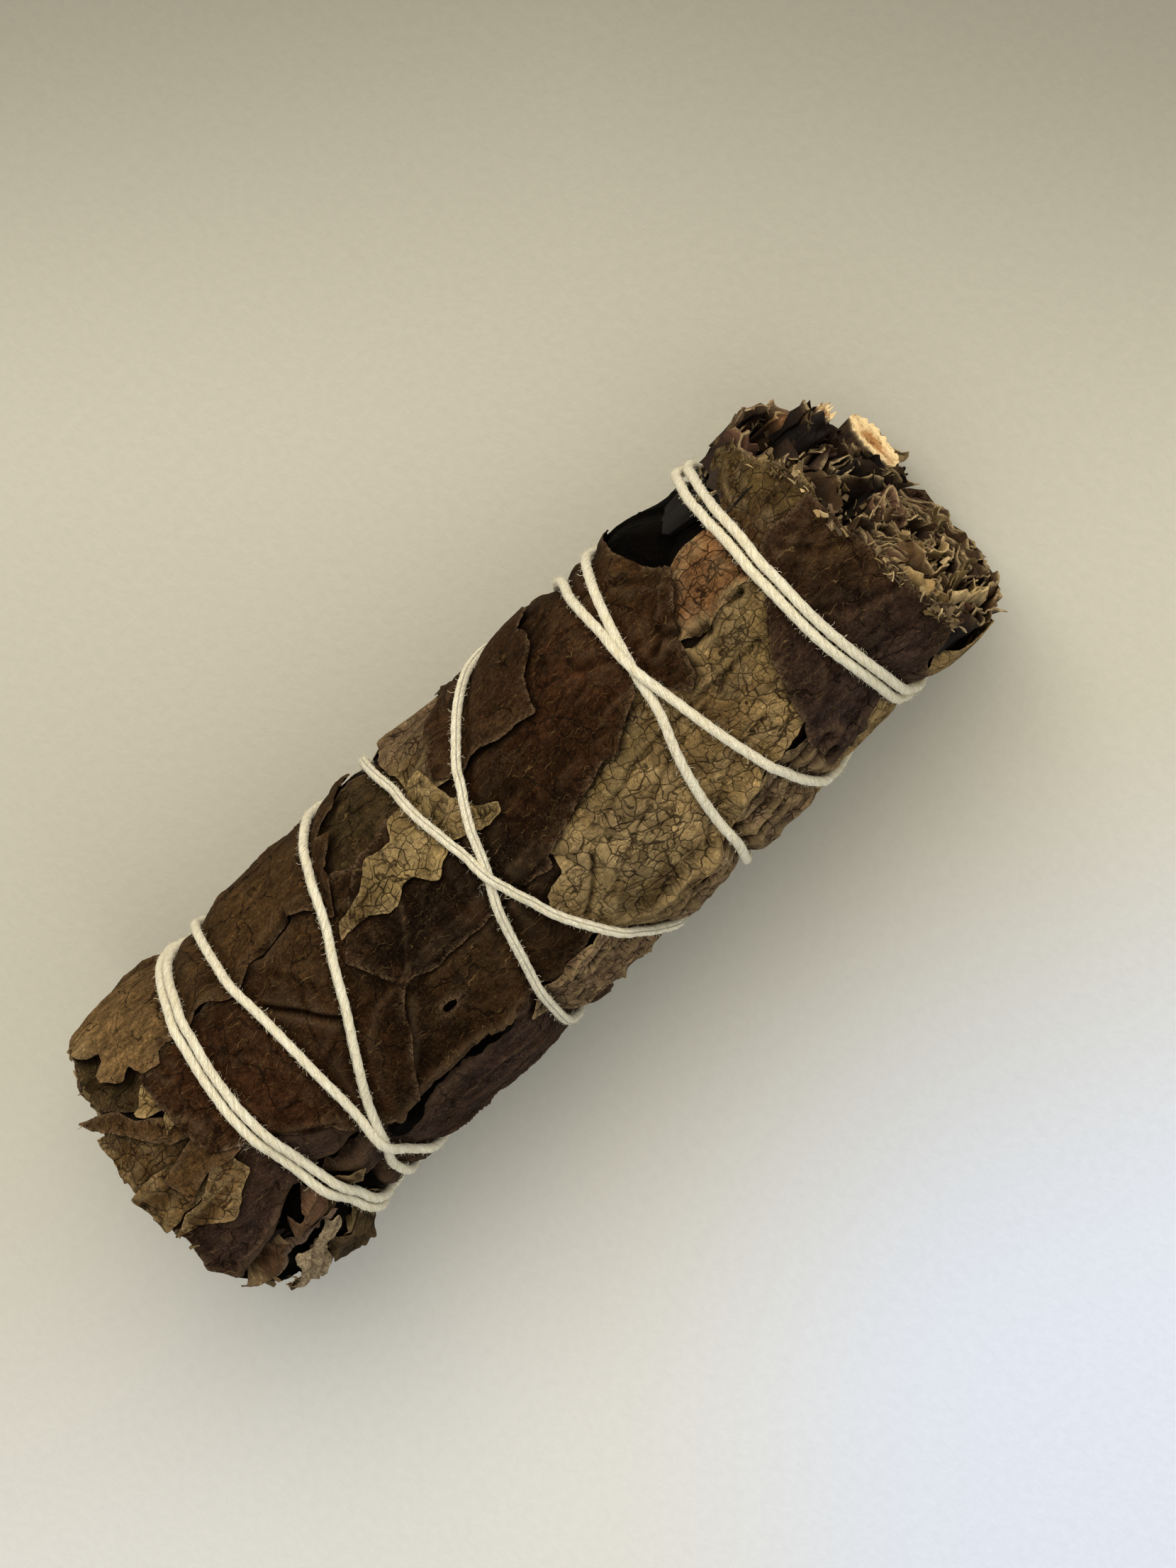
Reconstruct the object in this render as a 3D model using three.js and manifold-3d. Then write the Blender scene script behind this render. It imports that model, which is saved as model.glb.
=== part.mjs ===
// A smudge stick: dried leaves rolled tight round a few stalks and bound with one cotton string.
// It lies on its side. +X runs along the stick to the end with the cut stalks, +Z is up, in millimetres.
// A place on the stick is (s, phi): s in mm along its axis from the middle, phi in degrees round it,
// from straight up (0) towards +Y (90), underneath (180) and -Y (-90).
import * as THREE from 'three';
import { mergeVertices } from 'three/addons/utils/BufferGeometryUtils.js';
import Module from 'manifold-3d';

// Size of the bundle
const LENGTH = 101.6;
const RADIUS_LEAF_END = 16.75;
const RADIUS_STALK_END = 15.0;
const FLAT_BELOW_AXIS = 14.6;
const CINCH_DEPTH = 0.5;
const CINCH_WIDTH = 3.5;
const CINCH_PLACES = [-37, 41];
const LUMPS = [
  { depth: 0.22, along: 0.19, around: 2, phase: 1 },
  { depth: 0.22, along: 0.31, around: -3, phase: 2 },
];
const FLAT_FACING = 0.2;

// String
const STRING_RADIUS = 0.62;
const STRING_SIDES = 6;
const STRING_UNDER = 1.15;
const STRING_SAG = 0.22;
const STRING_BITE = 0.85;
const STRING_PIECE = 20;
const ROUTE_STEP = 3;
const ROUTE_SAMPLES = 12;
const LAP_APART = 30;
const HUMP_SLOPE = 0.35;

// Leaves
const LEAF_THICKNESS = 0.7;
const GAP = 0.28;
const WAVE_DEPTH = 0.9;
const WAVE_PLACES = [0.35, 0.65];
const WAVE_SEED = 5;

// Packed inside: where its ends are, and the rolled leaves that stand out of them
const LEAF_END_X = -49.8;
const STALK_END_X = 48.2;
const STALK_END_SLOPE = 0.2;
const CORE_RECESS = 3.5;
const ROLL_COUNT = 9;
const ROLL_STATIONS = 11;
const ROLL_THICKNESS = 0.75;
const ROLL_INNERMOST = 0.24;
const ROLL_OUTERMOST = 0.93;
const ROLL_NARROWEST = 0.12;
const ROLL_TURN = 137;
const ROLL_TURN_STRAY = 72;
const ROLL_SPANS = [110, 240];
const ROLL_WAVE = 0.035;
const ROLL_WAVES = 9;
const ROLL_CURL = 0.09;
const ROLL_RAGGED = 2.4;
const ROLL_TEETH = 5;
const ROLL_ROOT = 1.5;
const ROLL_LIMIT_S = 45.5;
const ROLL_CLEARANCE = 0.3;
const ROLL_SEED = 11;

// Cut stalks: middle of the cut face from the axis, oval section, length and slant of the cut
const STALK_SIDES = 14;
const STALKS = [
  { name: 'stalk_wide', end: [51.8, 5.1, -7], width: 6.6, height: 3.6, length: 60, drift: -3, slant: 38 },
  { name: 'stalk_small', end: [49.6, 9.8, -3.2], width: 2.2, height: 2.2, length: 24, drift: -4, slant: 20 },
];

// Knot on the hidden side of the left band
const KNOT_PHI = 240;
const KNOT_S = -39.7;
const KNOT_RISE = 1;
const KNOT_SPREAD = 2.4;
const KNOT_LOOP = 1.05;
const KNOT_LOOP_SIDES = 10;
const KNOT_LOOP_TURNS = [0, 55];
const KNOT_TAILS = [
  [[240, -39.7, 0.9], [237, -41.6, 0.5], [231, -44, 0.2], [226, -46.6, 0.3], [223, -48.4, 0.6]],
  [[240, -39.7, 0.9], [244, -41.4, 0.6], [251, -43.2, 0.2], [259, -44.6, 0.2], [266, -46.8, 0.5]],
];

// Height lines that all the leaves share
const GRID_S_FIRST = -56.3;
const GRID_S_STEP = 6;
const GRID_S_COUNT = 20;
const GRID_PHI_STEP = 15;
const GRID_PHI_COUNT = 360 / GRID_PHI_STEP;
const GRID_PHI_COLUMNS = [-10, 24];
const CELL_SAMPLES = 5;
const EDGE_SAMPLES = 60;
const MM_PER_DEGREE = (Math.PI / 180) * 16;

// Middle of the whole model, so that its box is centred on the origin
const MIDDLE_X = -0.185;
const MIDDLE_Y = -0.369;
const AXIS_HEIGHT = FLAT_BELOW_AXIS + STRING_UNDER;
const MERGE_DISTANCE = 1e-5;
const TINY = 1e-6;

const wasm = await Module();
wasm.setup();

const radians = (degrees) => (degrees * Math.PI) / 180;
const mix = (a, b, t) => a + (b - a) * t;
const withinTurn = (phi) => ((phi % 360) + 360) % 360;

// A repeatable random number between 0 and 1
const RANDOM_FACTOR = 1664525;
const RANDOM_STEP = 1013904223;
const RANDOM_RANGE = 2 ** 32;
function makeRandom(seed) {
  let state = seed;
  return () => {
    state = (state * RANDOM_FACTOR + RANDOM_STEP) % RANDOM_RANGE;
    return state / RANDOM_RANGE;
  };
}

// Distance of the bundle's outside from its axis: a taper, drawn in under the string's two bands, with low
// lumps, and flat below
function outerRadius(s, phi) {
  const t = (s + LENGTH / 2) / LENGTH;
  let radius = mix(RADIUS_LEAF_END, RADIUS_STALK_END, t);
  for (const place of CINCH_PLACES) {
    radius -= CINCH_DEPTH * Math.exp(-(((s - place) / CINCH_WIDTH) ** 2));
  }
  const turn = radians(phi);
  for (const { depth, along, around, phase } of LUMPS) {
    radius += depth * Math.sin(along * s + around * turn + phase);
  }
  const below = Math.cos(radians(phi - 180));
  return below > FLAT_FACING ? Math.min(radius, FLAT_BELOW_AXIS / below) : radius;
}

// Colours
const BROWN_DARK = 0x3a2618;
const BROWN = 0x553823;
const BROWN_RED = 0x4a2a1b;
const BROWN_PURPLE = 0x40302b;
const OLIVE = 0x4a4028;
const TAN = 0x85704a;
const GOLDEN = 0x7a5a33;
const ROSY = 0x85603f;
const STALK_PALE = 0xc09a68;
const COTTON = 0xd9cfae;

// Leaves from the innermost to the outermost, each with its outline in (s, phi)
const LEAVES = [
  { name: 'back_leaf_1', colour: BROWN_DARK, outline: [[-52, 112], [-46, 100], [-34, 96], [-22, 104],
    [-14, 122], [-12, 140], [-18, 160], [-28, 174], [-42, 178], [-51, 166], [-50, 150], [-53, 132]] },
  { name: 'back_leaf_2', colour: TAN, outline: [[-51, 172], [-42, 164], [-30, 166], [-20, 178],
    [-14, 196], [-16, 218], [-24, 238], [-36, 250], [-46, 244], [-52, 226], [-50, 205], [-52.5, 188]] },
  { name: 'back_leaf_3', colour: BROWN_PURPLE, outline: [[-52, 240], [-44, 232], [-34, 236], [-26, 248],
    [-24, 264], [-28, 282], [-38, 292], [-48, 286], [-52.5, 268], [-51, 252]] },
  { name: 'back_leaf_4', colour: BROWN, outline: [[-24, 118], [-16, 100], [-4, 92], [8, 94],
    [16, 108], [20, 128], [16, 150], [8, 168], [-4, 178], [-16, 172], [-24, 156], [-26, 136]] },
  { name: 'back_leaf_5', colour: BROWN_RED, outline: [[-20, 186], [-12, 174], [0, 168], [12, 174],
    [18, 192], [18, 214], [12, 238], [2, 256], [-10, 262], [-20, 250], [-24, 228], [-23, 204]] },
  { name: 'back_leaf_6', colour: BROWN, outline: [[8, 120], [16, 102], [28, 94], [38, 98],
    [44, 114], [44, 134], [40, 154], [32, 168], [20, 172], [10, 160], [6, 140]] },
  { name: 'back_leaf_7', colour: BROWN_PURPLE, outline: [[12, 186], [22, 172], [34, 166], [44, 170],
    [50, 186], [49.5, 206], [50.5, 226], [46, 244], [34, 254], [22, 250], [12, 236], [9, 210]] },
  { name: 'back_leaf_8', colour: TAN, outline: [[4, 262], [14, 248], [28, 242], [40, 244],
    [49, 254], [50.5, 270], [49, 288], [40, 298], [28, 300], [16, 296], [8, 284]] },
  { name: 'back_leaf_9', colour: BROWN, outline: [[36, 96], [38, 78], [44, 68], [46, 86],
    [46.5, 104], [47, 124], [48, 146], [44, 158], [38, 150], [35, 124]] },
  { name: 'purple_leaf_lower', colour: BROWN_PURPLE, outline: [[-39, -46], [-30, -43], [-20, -41],
    [-10, -43], [-3, -46], [0, -60], [-2, -80], [-6, -98], [-16, -112], [-28, -114], [-38, -104],
    [-42, -86], [-41, -64]] },
  { name: 'ragged_leaf_left_1', colour: BROWN, outline: [[-52.8, -47], [-46, -44], [-38, -46],
    [-33, -51], [-36, -57], [-44, -58], [-48, -56], [-51.6, -60], [-50.5, -53]] },
  { name: 'ragged_leaf_left_2', colour: OLIVE, outline: [[-52.8, -61], [-48, -55], [-42, -56],
    [-38, -60], [-36, -66], [-40, -73], [-47, -76], [-52, -80], [-50.6, -71]] },
  { name: 'dark_leaf_left', colour: BROWN_PURPLE, outline: [[-50.6, -12], [-51.2, -24], [-52.5, -35],
    [-51.4, -43.5], [-44, -42.5], [-36, -42], [-29, -41], [-27, -31], [-33, -22], [-38, -10], [-46, -7]] },
  { name: 'tan_leaf_left_1', colour: TAN, outline: [[-50.9, 27], [-47, 19], [-43, 12], [-39, 6],
    [-39, -3], [-46, -4], [-51, -1], [-50.4, 12]] },
  { name: 'tan_leaf_left_2', colour: TAN, outline: [[-51.3, 1], [-46, 2], [-41, -3], [-40, -12],
    [-46, -14.5], [-51.4, -15.5]] },
  { name: 'tan_leaf_left_3', colour: TAN, outline: [[-51, -17.5], [-46, -15], [-42.3, -8.5],
    [-39.5, -9], [-39.5, -19], [-42.5, -25], [-45, -28.5], [-47.6, -23]] },
  { name: 'brown_leaf_left', colour: BROWN, outline: [[-47, -1], [-41, 1.5], [-35, -2], [-35, -13],
    [-40.5, -12], [-43, -9], [-46.5, -11.5]] },
  { name: 'olive_leaf_left', colour: OLIVE, outline: [[-50.8, 63], [-50.3, 46], [-49.3, 33],
    [-45.5, 23.5], [-39, 23], [-36, 34], [-40, 56], [-46, 68]] },
  { name: 'strip_leaf_left', colour: BROWN, outline: [[-52, 35.5], [-49.8, 32.5], [-47, 27.5],
    [-44.9, 20], [-42.6, 14], [-40.4, 5], [-39.6, -1], [-42.5, 4], [-44.7, 9], [-47.3, 17.5],
    [-49.6, 25], [-50.9, 29.5]] },
  { name: 'flake_leaf_left', colour: TAN, outline: [[-44.7, 22], [-42.4, 27.5], [-40.5, 26],
    [-39.8, 17], [-40.6, 9], [-43.1, 8.5], [-42, 14.5], [-43.6, 17.5]] },
  { name: 'olive_leaf_middle', colour: OLIVE, outline: [[-15, 52], [-15, 30], [-10, 24], [-4, 26],
    [1, 32], [4, 44], [3, 60], [-1, 72], [-8, 70]] },
  { name: 'brown_leaf_middle', colour: BROWN, outline: [[-26, -43], [-24, -30], [-20, -12], [-10, -5],
    [2, -5], [10, -6], [12, -16], [9, -34], [5, -46], [-3, -47], [-10, -44], [-18, -43]] },
  { name: 'dark_leaf_middle', colour: BROWN_DARK, outline: [[-42, 29], [-37, 34], [-28, 37], [-18, 39],
    [-9, 35], [-7, 22], [-9, 6], [-13.6, -10], [-16, -18], [-18.6, -27], [-22.4, -41.5], [-25, -43],
    [-28, -38], [-30, -27], [-35, -20], [-38, -13], [-41, -4], [-41.5, 12]] },
  { name: 'crumpled_leaf_lower_1', colour: TAN, outline: [[-8.5, -51], [-4, -46], [3, -45.5], [8, -52],
    [16, -57], [21, -60], [19, -74], [11, -84], [1, -83], [-7, -73]] },
  { name: 'crumpled_leaf_lower_2', colour: TAN, outline: [[13, -63], [18, -55], [25, -48], [32, -44],
    [35, -50], [34, -62], [30.5, -74], [24, -81], [16.5, -79]] },
  { name: 'tan_leaf_large', colour: TAN, outline: [[3.2, -37], [2.8, -26], [4, -20], [6.6, -17],
    [6.9, -9], [13, 4], [21, 12], [30, 13], [31.8, 7.5], [35, 8], [42, 8.5], [43, -5], [41, -25],
    [35.5, -38], [28, -44], [22, -50.5], [17, -58], [10, -61], [5, -54.5], [4, -45]] },
  { name: 'hollow_leaf_right', colour: BROWN_DARK, outline: [[26, 62], [29, 44], [33, 33], [38, 36],
    [43, 44], [44, 64], [42, 92], [36, 108], [28, 104], [25, 84]] },
  { name: 'rosy_leaf_right', colour: ROSY, outline: [[30.5, 15], [31.8, 24], [33.8, 33], [36.5, 40.5],
    [39.5, 42.5], [44, 40], [45, 28], [44, 15], [40.5, 13.5], [37, 12.5], [35, 10.5], [33, 12]] },
  { name: 'tan_leaf_right', colour: OLIVE, outline: [[40, 28], [42, 48], [42.6, 74], [44.5, 100],
    [46.4, 82], [45.7, 63], [46.6, 50], [48.5, 42], [50.3, 30], [50, 17], [45, 12], [41, 16]] },
  { name: 'red_leaf_middle', colour: BROWN_RED, outline: [[-16.5, 12], [-13.6, -9], [-6, -11.5],
    [2, -11], [6.8, -12.5], [7.2, -8.5], [11, -5.5], [15, -2], [17.5, 1], [20, 0.5], [22, 4.5],
    [25, 14], [27, 8], [28.4, -1], [30.7, 0.5], [30.9, 6], [31.6, 16], [33, 22], [34.3, 28],
    [34.8, 36.5], [33.5, 41.5], [32, 50], [30, 60], [29.2, 70], [28.4, 86], [26, 104], [19, 110],
    [11, 100], [7, 72], [2, 46], [-5, 38], [-12, 28]] },
  { name: 'purple_leaf_right', colour: BROWN_PURPLE, outline: [[40.5, 5], [43, 19], [45.8, 20],
    [50.2, 21], [50.4, 10], [51.1, -5], [51.3, -22], [51, -41], [50, -55], [50.6, -63], [46, -61.5],
    [43, -67.5], [39, -71], [38.3, -66], [36.6, -66.5], [35.4, -72.5], [33.6, -67.5], [31.4, -68],
    [31, -61], [32.2, -50], [33, -44], [34.2, -37], [35, -26], [36.6, -16], [38.3, -7]] },
  { name: 'golden_leaf', colour: GOLDEN, outline: [[-51.7, 79], [-51, 67], [-50.4, 60.5], [-47.3, 56.5],
    [-46.9, 52], [-47.9, 47], [-46.9, 42.5], [-44.4, 36.3], [-42.5, 35.5], [-41.5, 32], [-40.2, 29],
    [-38, 31.5], [-33, 33], [-29, 31], [-24, 36], [-20, 38], [-16, 31], [-14.2, 25], [-13, 32],
    [-12.1, 42], [-10.8, 49.5], [-12.2, 54], [-9.2, 61], [-8.8, 76], [-10, 92], [-14, 108],
    [-25, 120], [-40, 117], [-50, 105], [-52.3, 92]] },
  { name: 'tan_leaf_strip', colour: TAN, outline: [[-15.4, 16.5], [-14.2, 22], [-10.2, 25.5],
    [-8, 31.5], [-4.6, 31.5], [-4, 36], [-2.2, 41], [-1, 43], [1.1, 43.5], [2.1, 37], [2.8, 29],
    [4.6, 20], [6.8, 15], [6.1, 10.5], [4.8, 10.8], [3.4, 14.5], [0.8, 15], [-1.2, 12], [-2.8, 9.8],
    [-4, 12], [-5, 15], [-6.6, 15.3], [-8.4, 11], [-9.8, 12], [-11.4, 16.5], [-13, 18]] },
  { name: 'brown_leaf_top', colour: BROWN, outline: [[2.6, 36], [5, 32.5], [8, 33.8], [12, 31],
    [15.6, 30], [15.6, 38], [15.9, 45.5], [17.4, 52.5], [17.5, 61], [16.8, 69], [17.6, 78],
    [14, 101], [6, 106], [2.4, 92], [4.8, 77], [3.6, 62], [3, 48]] },
  { name: 'crumpled_leaf_top', colour: ROSY, outline: [[-4.2, 86], [-1.6, 71], [-0.6, 60],
    [0.2, 50.5], [1.6, 45.8], [3, 47], [3.3, 55], [3, 66], [4.4, 76], [2, 92]] },
];

// The string's visible passes and hidden links, as (phi, s), in the order in which it was wound.
// It starts at the knot, goes round the left band, up the bundle, twice round the right band, back down
// over its first run, round the left band again and into the knot.
const STRING_ROUTE = [
  { turn: 0, points: [[-120, -39.6], [-90, -39.2], [-75, -38.6], [-60, -38], [-30, -37.3], [0, -37],
    [45, -36.5], [60, -37], [75, -37.7], [90, -38.4], [135, -38.7], [180, -38], [215, -37], [240, -36.2]] },
  { turn: 1, points: [[-90, -34.5], [-75, -33], [-60, -31.5], [-50, -29.5], [-38, -27.3], [-30, -25.8],
    [-15, -22.5], [0, -19.5], [15, -17.3], [30, -15.3], [45, -14.8], [60, -14.8], [75, -15],
    [90, -15.6], [135, -15.2], [180, -13.4], [225, -11.2]] },
  { turn: 2, points: [[-90, -9.8], [-75, -8.7], [-60, -7], [-45, -5.3], [-30, -3.2], [-15, -1.2],
    [0, 1.2], [15, 3], [30, 4.8], [45, 6.5], [60, 7.8], [75, 8.6], [90, 9.4], [120, 9.9], [150, 10.9],
    [180, 12.2], [225, 14]] },
  { turn: 3, points: [[-90, 15.6], [-75, 17], [-60, 19], [-45, 20.2], [-30, 21.6], [-15, 23.2],
    [0, 25], [15, 25.8], [30, 26.3], [45, 26.5], [60, 26.4], [75, 25.8], [90, 25], [135, 26],
    [180, 29], [205, 32], [225, 35.2], [245, 37.4]] },
  { turn: 4, points: [[-90, 39.1], [-75, 39.5], [-45, 40.8], [-15, 41.2], [0, 41.3], [30, 40.7],
    [45, 39.8], [60, 38.8], [75, 38], [90, 37], [135, 36.9], [180, 38.2], [225, 39.8]] },
  { turn: 5, points: [[-90, 40.6], [-75, 40.9], [-45, 42], [-15, 42.4], [0, 42.5], [30, 42],
    [45, 41.2], [60, 40.3], [75, 39.5], [90, 38.4], [110, 37.6], [135, 36.2], [160, 35.6],
    [180, 35.3], [205, 33.7], [225, 31.8], [245, 30]] },
  { turn: 6, points: [[-90, 28.6], [-75, 28.3], [-45, 28], [-15, 27.4], [5, 26.7], [17, 26.2],
    [30, 25.6], [45, 24.6], [60, 23.4], [75, 22.4], [90, 20.8], [110, 18], [130, 14.6], [150, 11.2],
    [180, 8.2], [225, 6.6]] },
  { turn: 7, points: [[-90, 6.2], [-75, 5.8], [-60, 5], [-45, 4], [-30, 2.8], [-15, 2], [0, 1.2],
    [15, 0.3], [30, -1], [45, -2.2], [60, -4], [75, -5.8], [90, -7.6], [110, -10], [130, -12.7],
    [150, -15.6], [180, -20.2], [225, -26.4]] },
  { turn: 8, points: [[-90, -29.8], [-75, -29.6], [-60, -29.3], [-45, -28.8], [-30, -27.5],
    [-15, -26.9], [0, -26.8], [15, -27.3], [30, -28.3], [45, -29.2], [60, -30.3], [75, -31.8],
    [90, -33.4], [135, -34.6], [180, -36], [215, -37.3], [240, -37.8]] },
  { turn: 9, points: [[-90, -37.9], [-75, -37.4], [-60, -36.8], [-30, -36.1], [0, -35.8],
    [45, -35.3], [60, -35.8], [75, -36.5], [90, -37.2], [120, -37.5], [150, -38.5], [180, -39.2],
    [215, -39.7], [240, -39.8]] },
];

// A whole leaf's edge between its corners, bent in and out in turn
function wavedOutline(outline, random) {
  const waved = [];
  outline.forEach(([s, phi], i) => {
    const [sNext, phiNext] = outline[(i + 1) % outline.length];
    const along = [sNext - s, (phiNext - phi) * MM_PER_DEGREE];
    const length = Math.hypot(...along);
    waved.push([s, phi]);
    const out = WAVE_DEPTH * (i % 2 ? 1 : -1) * (0.5 + random());
    const t = mix(...WAVE_PLACES, random());
    waved.push([
      mix(s, sNext, t) + (out * along[1]) / length,
      mix(phi, phiNext, t) - (out * along[0]) / length / MM_PER_DEGREE,
    ]);
  });
  return waved;
}

// Closed meshes to and from the solids that are cut and joined
function toSolid(geometry) {
  const bare = geometry.clone();
  bare.deleteAttribute('normal');
  bare.deleteAttribute('uv');
  const merged = mergeVertices(bare, MERGE_DISTANCE);
  const mesh = new wasm.Mesh({
    numProp: 3,
    vertProperties: Float32Array.from(merged.attributes.position.array),
    triVerts: Uint32Array.from(merged.index.array),
  });
  return new wasm.Manifold(mesh);
}

function toGeometry(solid) {
  const mesh = solid.getMesh();
  const geometry = new THREE.BufferGeometry();
  geometry.setAttribute('position', new THREE.BufferAttribute(Float32Array.from(mesh.vertProperties), 3));
  geometry.setIndex(Array.from(mesh.triVerts));
  return geometry;
}

function geometryOf(points, triangles) {
  const geometry = new THREE.BufferGeometry();
  geometry.setAttribute('position', new THREE.Float32BufferAttribute(points.flat(), 3));
  geometry.setIndex(triangles.flat());
  return geometry;
}

function largestPiece(solid) {
  const pieces = solid.decompose();
  pieces.sort((a, b) => b.volume() - a.volume());
  return pieces[0];
}

// Point at a distance from the axis, in a section that has straight sides between the height lines
function placeOnAxis(s, phi, radius) {
  const column = Math.floor(phi / GRID_PHI_STEP);
  const t = phi / GRID_PHI_STEP - column;
  const from = radians(column * GRID_PHI_STEP);
  const to = radians((column + 1) * GRID_PHI_STEP);
  const y = radius * mix(Math.sin(from), Math.sin(to), t);
  const z = radius * mix(Math.cos(from), Math.cos(to), t);
  return [s, y, z];
}

const gridS = (row) => GRID_S_FIRST + row * GRID_S_STEP;
const gridPhi = (column) => column * GRID_PHI_STEP;
const wrap = (column) => ((column % GRID_PHI_COUNT) + GRID_PHI_COUNT) % GRID_PHI_COUNT;
const nodeKey = (row, column) => row * GRID_PHI_COUNT + wrap(column);

function insideOutline(outline, s, phi) {
  let inside = false;
  for (let i = 0, j = outline.length - 1; i < outline.length; j = i, i += 1) {
    const [si, pi] = outline[i];
    const [sj, pj] = outline[j];
    if (pi > phi !== pj > phi && s < ((sj - si) * (phi - pi)) / (pj - pi) + si) {
      inside = !inside;
    }
  }
  return inside;
}

// Cells between the height lines that an outline covers or touches
function touchedCells(outline) {
  const cells = new Map();
  const add = (s, phi) => {
    const row = Math.floor((s - GRID_S_FIRST) / GRID_S_STEP);
    const column = Math.floor(phi / GRID_PHI_STEP);
    cells.set(`${row},${column}`, [row, column]);
  };
  const [firstColumn, endColumn] = GRID_PHI_COLUMNS;
  for (let row = 0; row < GRID_S_COUNT - 1; row += 1) {
    for (let column = firstColumn; column < endColumn; column += 1) {
      for (let i = 0; i < CELL_SAMPLES * CELL_SAMPLES; i += 1) {
        const s = gridS(row + ((i % CELL_SAMPLES) + 0.5) / CELL_SAMPLES);
        const phi = gridPhi(column + (Math.floor(i / CELL_SAMPLES) + 0.5) / CELL_SAMPLES);
        if (insideOutline(outline, s, phi)) add(s, phi);
      }
    }
  }
  outline.forEach(([s, phi], i) => {
    const [sNext, phiNext] = outline[(i + 1) % outline.length];
    for (let k = 0; k < EDGE_SAMPLES; k += 1) {
      add(mix(s, sNext, k / EDGE_SAMPLES), mix(phi, phiNext, k / EDGE_SAMPLES));
    }
  });
  return [...cells.values()];
}

const cornersOf = ([row, column]) => [
  [row, column], [row + 1, column], [row, column + 1], [row + 1, column + 1],
];
const cellKey = ([row, column]) => row * GRID_PHI_COUNT + wrap(column);

// Each leaf's underside at each height line, above the packed inside
const cellTops = new Map();
const stack = new Map();
const waveRandom = makeRandom(WAVE_SEED);
for (const leaf of LEAVES) {
  if (leaf.name.startsWith('back_leaf')) {
    leaf.outline = wavedOutline(leaf.outline, waveRandom);
  }
  leaf.cells = touchedCells(leaf.outline);
  leaf.under = new Map();
  for (const cell of leaf.cells) {
    const tops = cellTops.get(cellKey(cell)) ?? new Map();
    for (const corner of cornersOf(cell)) {
      const key = nodeKey(...corner);
      const under = (tops.get(key) ?? 0) + GAP;
      leaf.under.set(key, Math.max(under, leaf.under.get(key) ?? 0));
    }
  }
  for (const cell of leaf.cells) {
    const tops = cellTops.get(cellKey(cell)) ?? new Map();
    for (const corner of cornersOf(cell)) {
      const key = nodeKey(...corner);
      tops.set(key, leaf.under.get(key) + LEAF_THICKNESS);
      stack.set(key, Math.max(stack.get(key) ?? 0, tops.get(key)));
    }
    cellTops.set(cellKey(cell), tops);
  }
}

// Distance of the packed inside from the axis: the leaves on it bring it out to the full radius
function insideRadius(row, column) {
  const layers = stack.get(nodeKey(row, column)) ?? LEAF_THICKNESS + GAP;
  return outerRadius(gridS(row), gridPhi(column)) - layers;
}

// A flat slab over a leaf's cells, with the heights of its two faces, cut out by the leaf's outline
function leafSolid(leaf) {
  const points = [];
  const index = new Map();
  const triangles = [];
  const vertex = (row, column, side) => {
    const id = `${row},${column},${side}`;
    if (!index.has(id)) {
      const under = leaf.under.get(nodeKey(row, column));
      const height = insideRadius(row, column) + under + side * LEAF_THICKNESS;
      index.set(id, points.length);
      points.push([gridS(row), gridPhi(column) * MM_PER_DEGREE, height]);
    }
    return index.get(id);
  };
  const held = new Set(leaf.cells.map(([row, column]) => `${row},${column}`));
  for (const [row, column] of leaf.cells) {
    for (const side of [0, 1]) {
      const a = vertex(row, column, side);
      const b = vertex(row + 1, column, side);
      const c = vertex(row + 1, column + 1, side);
      const d = vertex(row, column + 1, side);
      triangles.push(side ? [a, b, c] : [a, c, b]);
      triangles.push(side ? [a, c, d] : [a, d, c]);
    }
    const borders = [
      [row, column - 1, [row, column], [row + 1, column]],
      [row + 1, column, [row + 1, column], [row + 1, column + 1]],
      [row, column + 1, [row + 1, column + 1], [row, column + 1]],
      [row - 1, column, [row, column + 1], [row, column]],
    ];
    for (const [otherRow, otherColumn, from, to] of borders) {
      if (held.has(`${otherRow},${otherColumn}`)) continue;
      const a = vertex(...from, 0);
      const b = vertex(...to, 0);
      const c = vertex(...to, 1);
      const d = vertex(...from, 1);
      triangles.push([a, b, c], [a, c, d]);
    }
  }
  const slab = toSolid(geometryOf(points, triangles));
  const corners = leaf.outline.map(([s, phi]) => new THREE.Vector2(s, phi * MM_PER_DEGREE));
  const depth = 2 * RADIUS_LEAF_END;
  const cutter = new THREE.ExtrudeGeometry(new THREE.Shape(corners), { depth, bevelEnabled: false });
  return largestPiece(slab.intersect(toSolid(cutter)));
}

function leafGeometry(leaf) {
  const geometry = toGeometry(leafSolid(leaf));
  const position = geometry.attributes.position;
  for (let i = 0; i < position.count; i += 1) {
    const phi = position.getY(i) / MM_PER_DEGREE;
    position.setXYZ(i, ...placeOnAxis(position.getX(i), phi, position.getZ(i)));
  }
  return geometry;
}

// Radius of a surface between the height lines, from its radius at them
function radiusBetween(s, phi, radiusAt) {
  const row = Math.floor((s - GRID_S_FIRST) / GRID_S_STEP);
  const column = Math.floor(phi / GRID_PHI_STEP);
  const u = (s - gridS(row)) / GRID_S_STEP;
  const v = phi / GRID_PHI_STEP - column;
  const a = radiusAt(row, column);
  const c = radiusAt(row + 1, column + 1);
  if (u > v) {
    const b = radiusAt(row + 1, column);
    return a + (b - a) * u + (c - b) * v;
  }
  const d = radiusAt(row, column + 1);
  return a + (c - d) * u + (d - a) * v;
}
const outsideAt = (row, column) => outerRadius(gridS(row), gridPhi(column));

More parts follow.
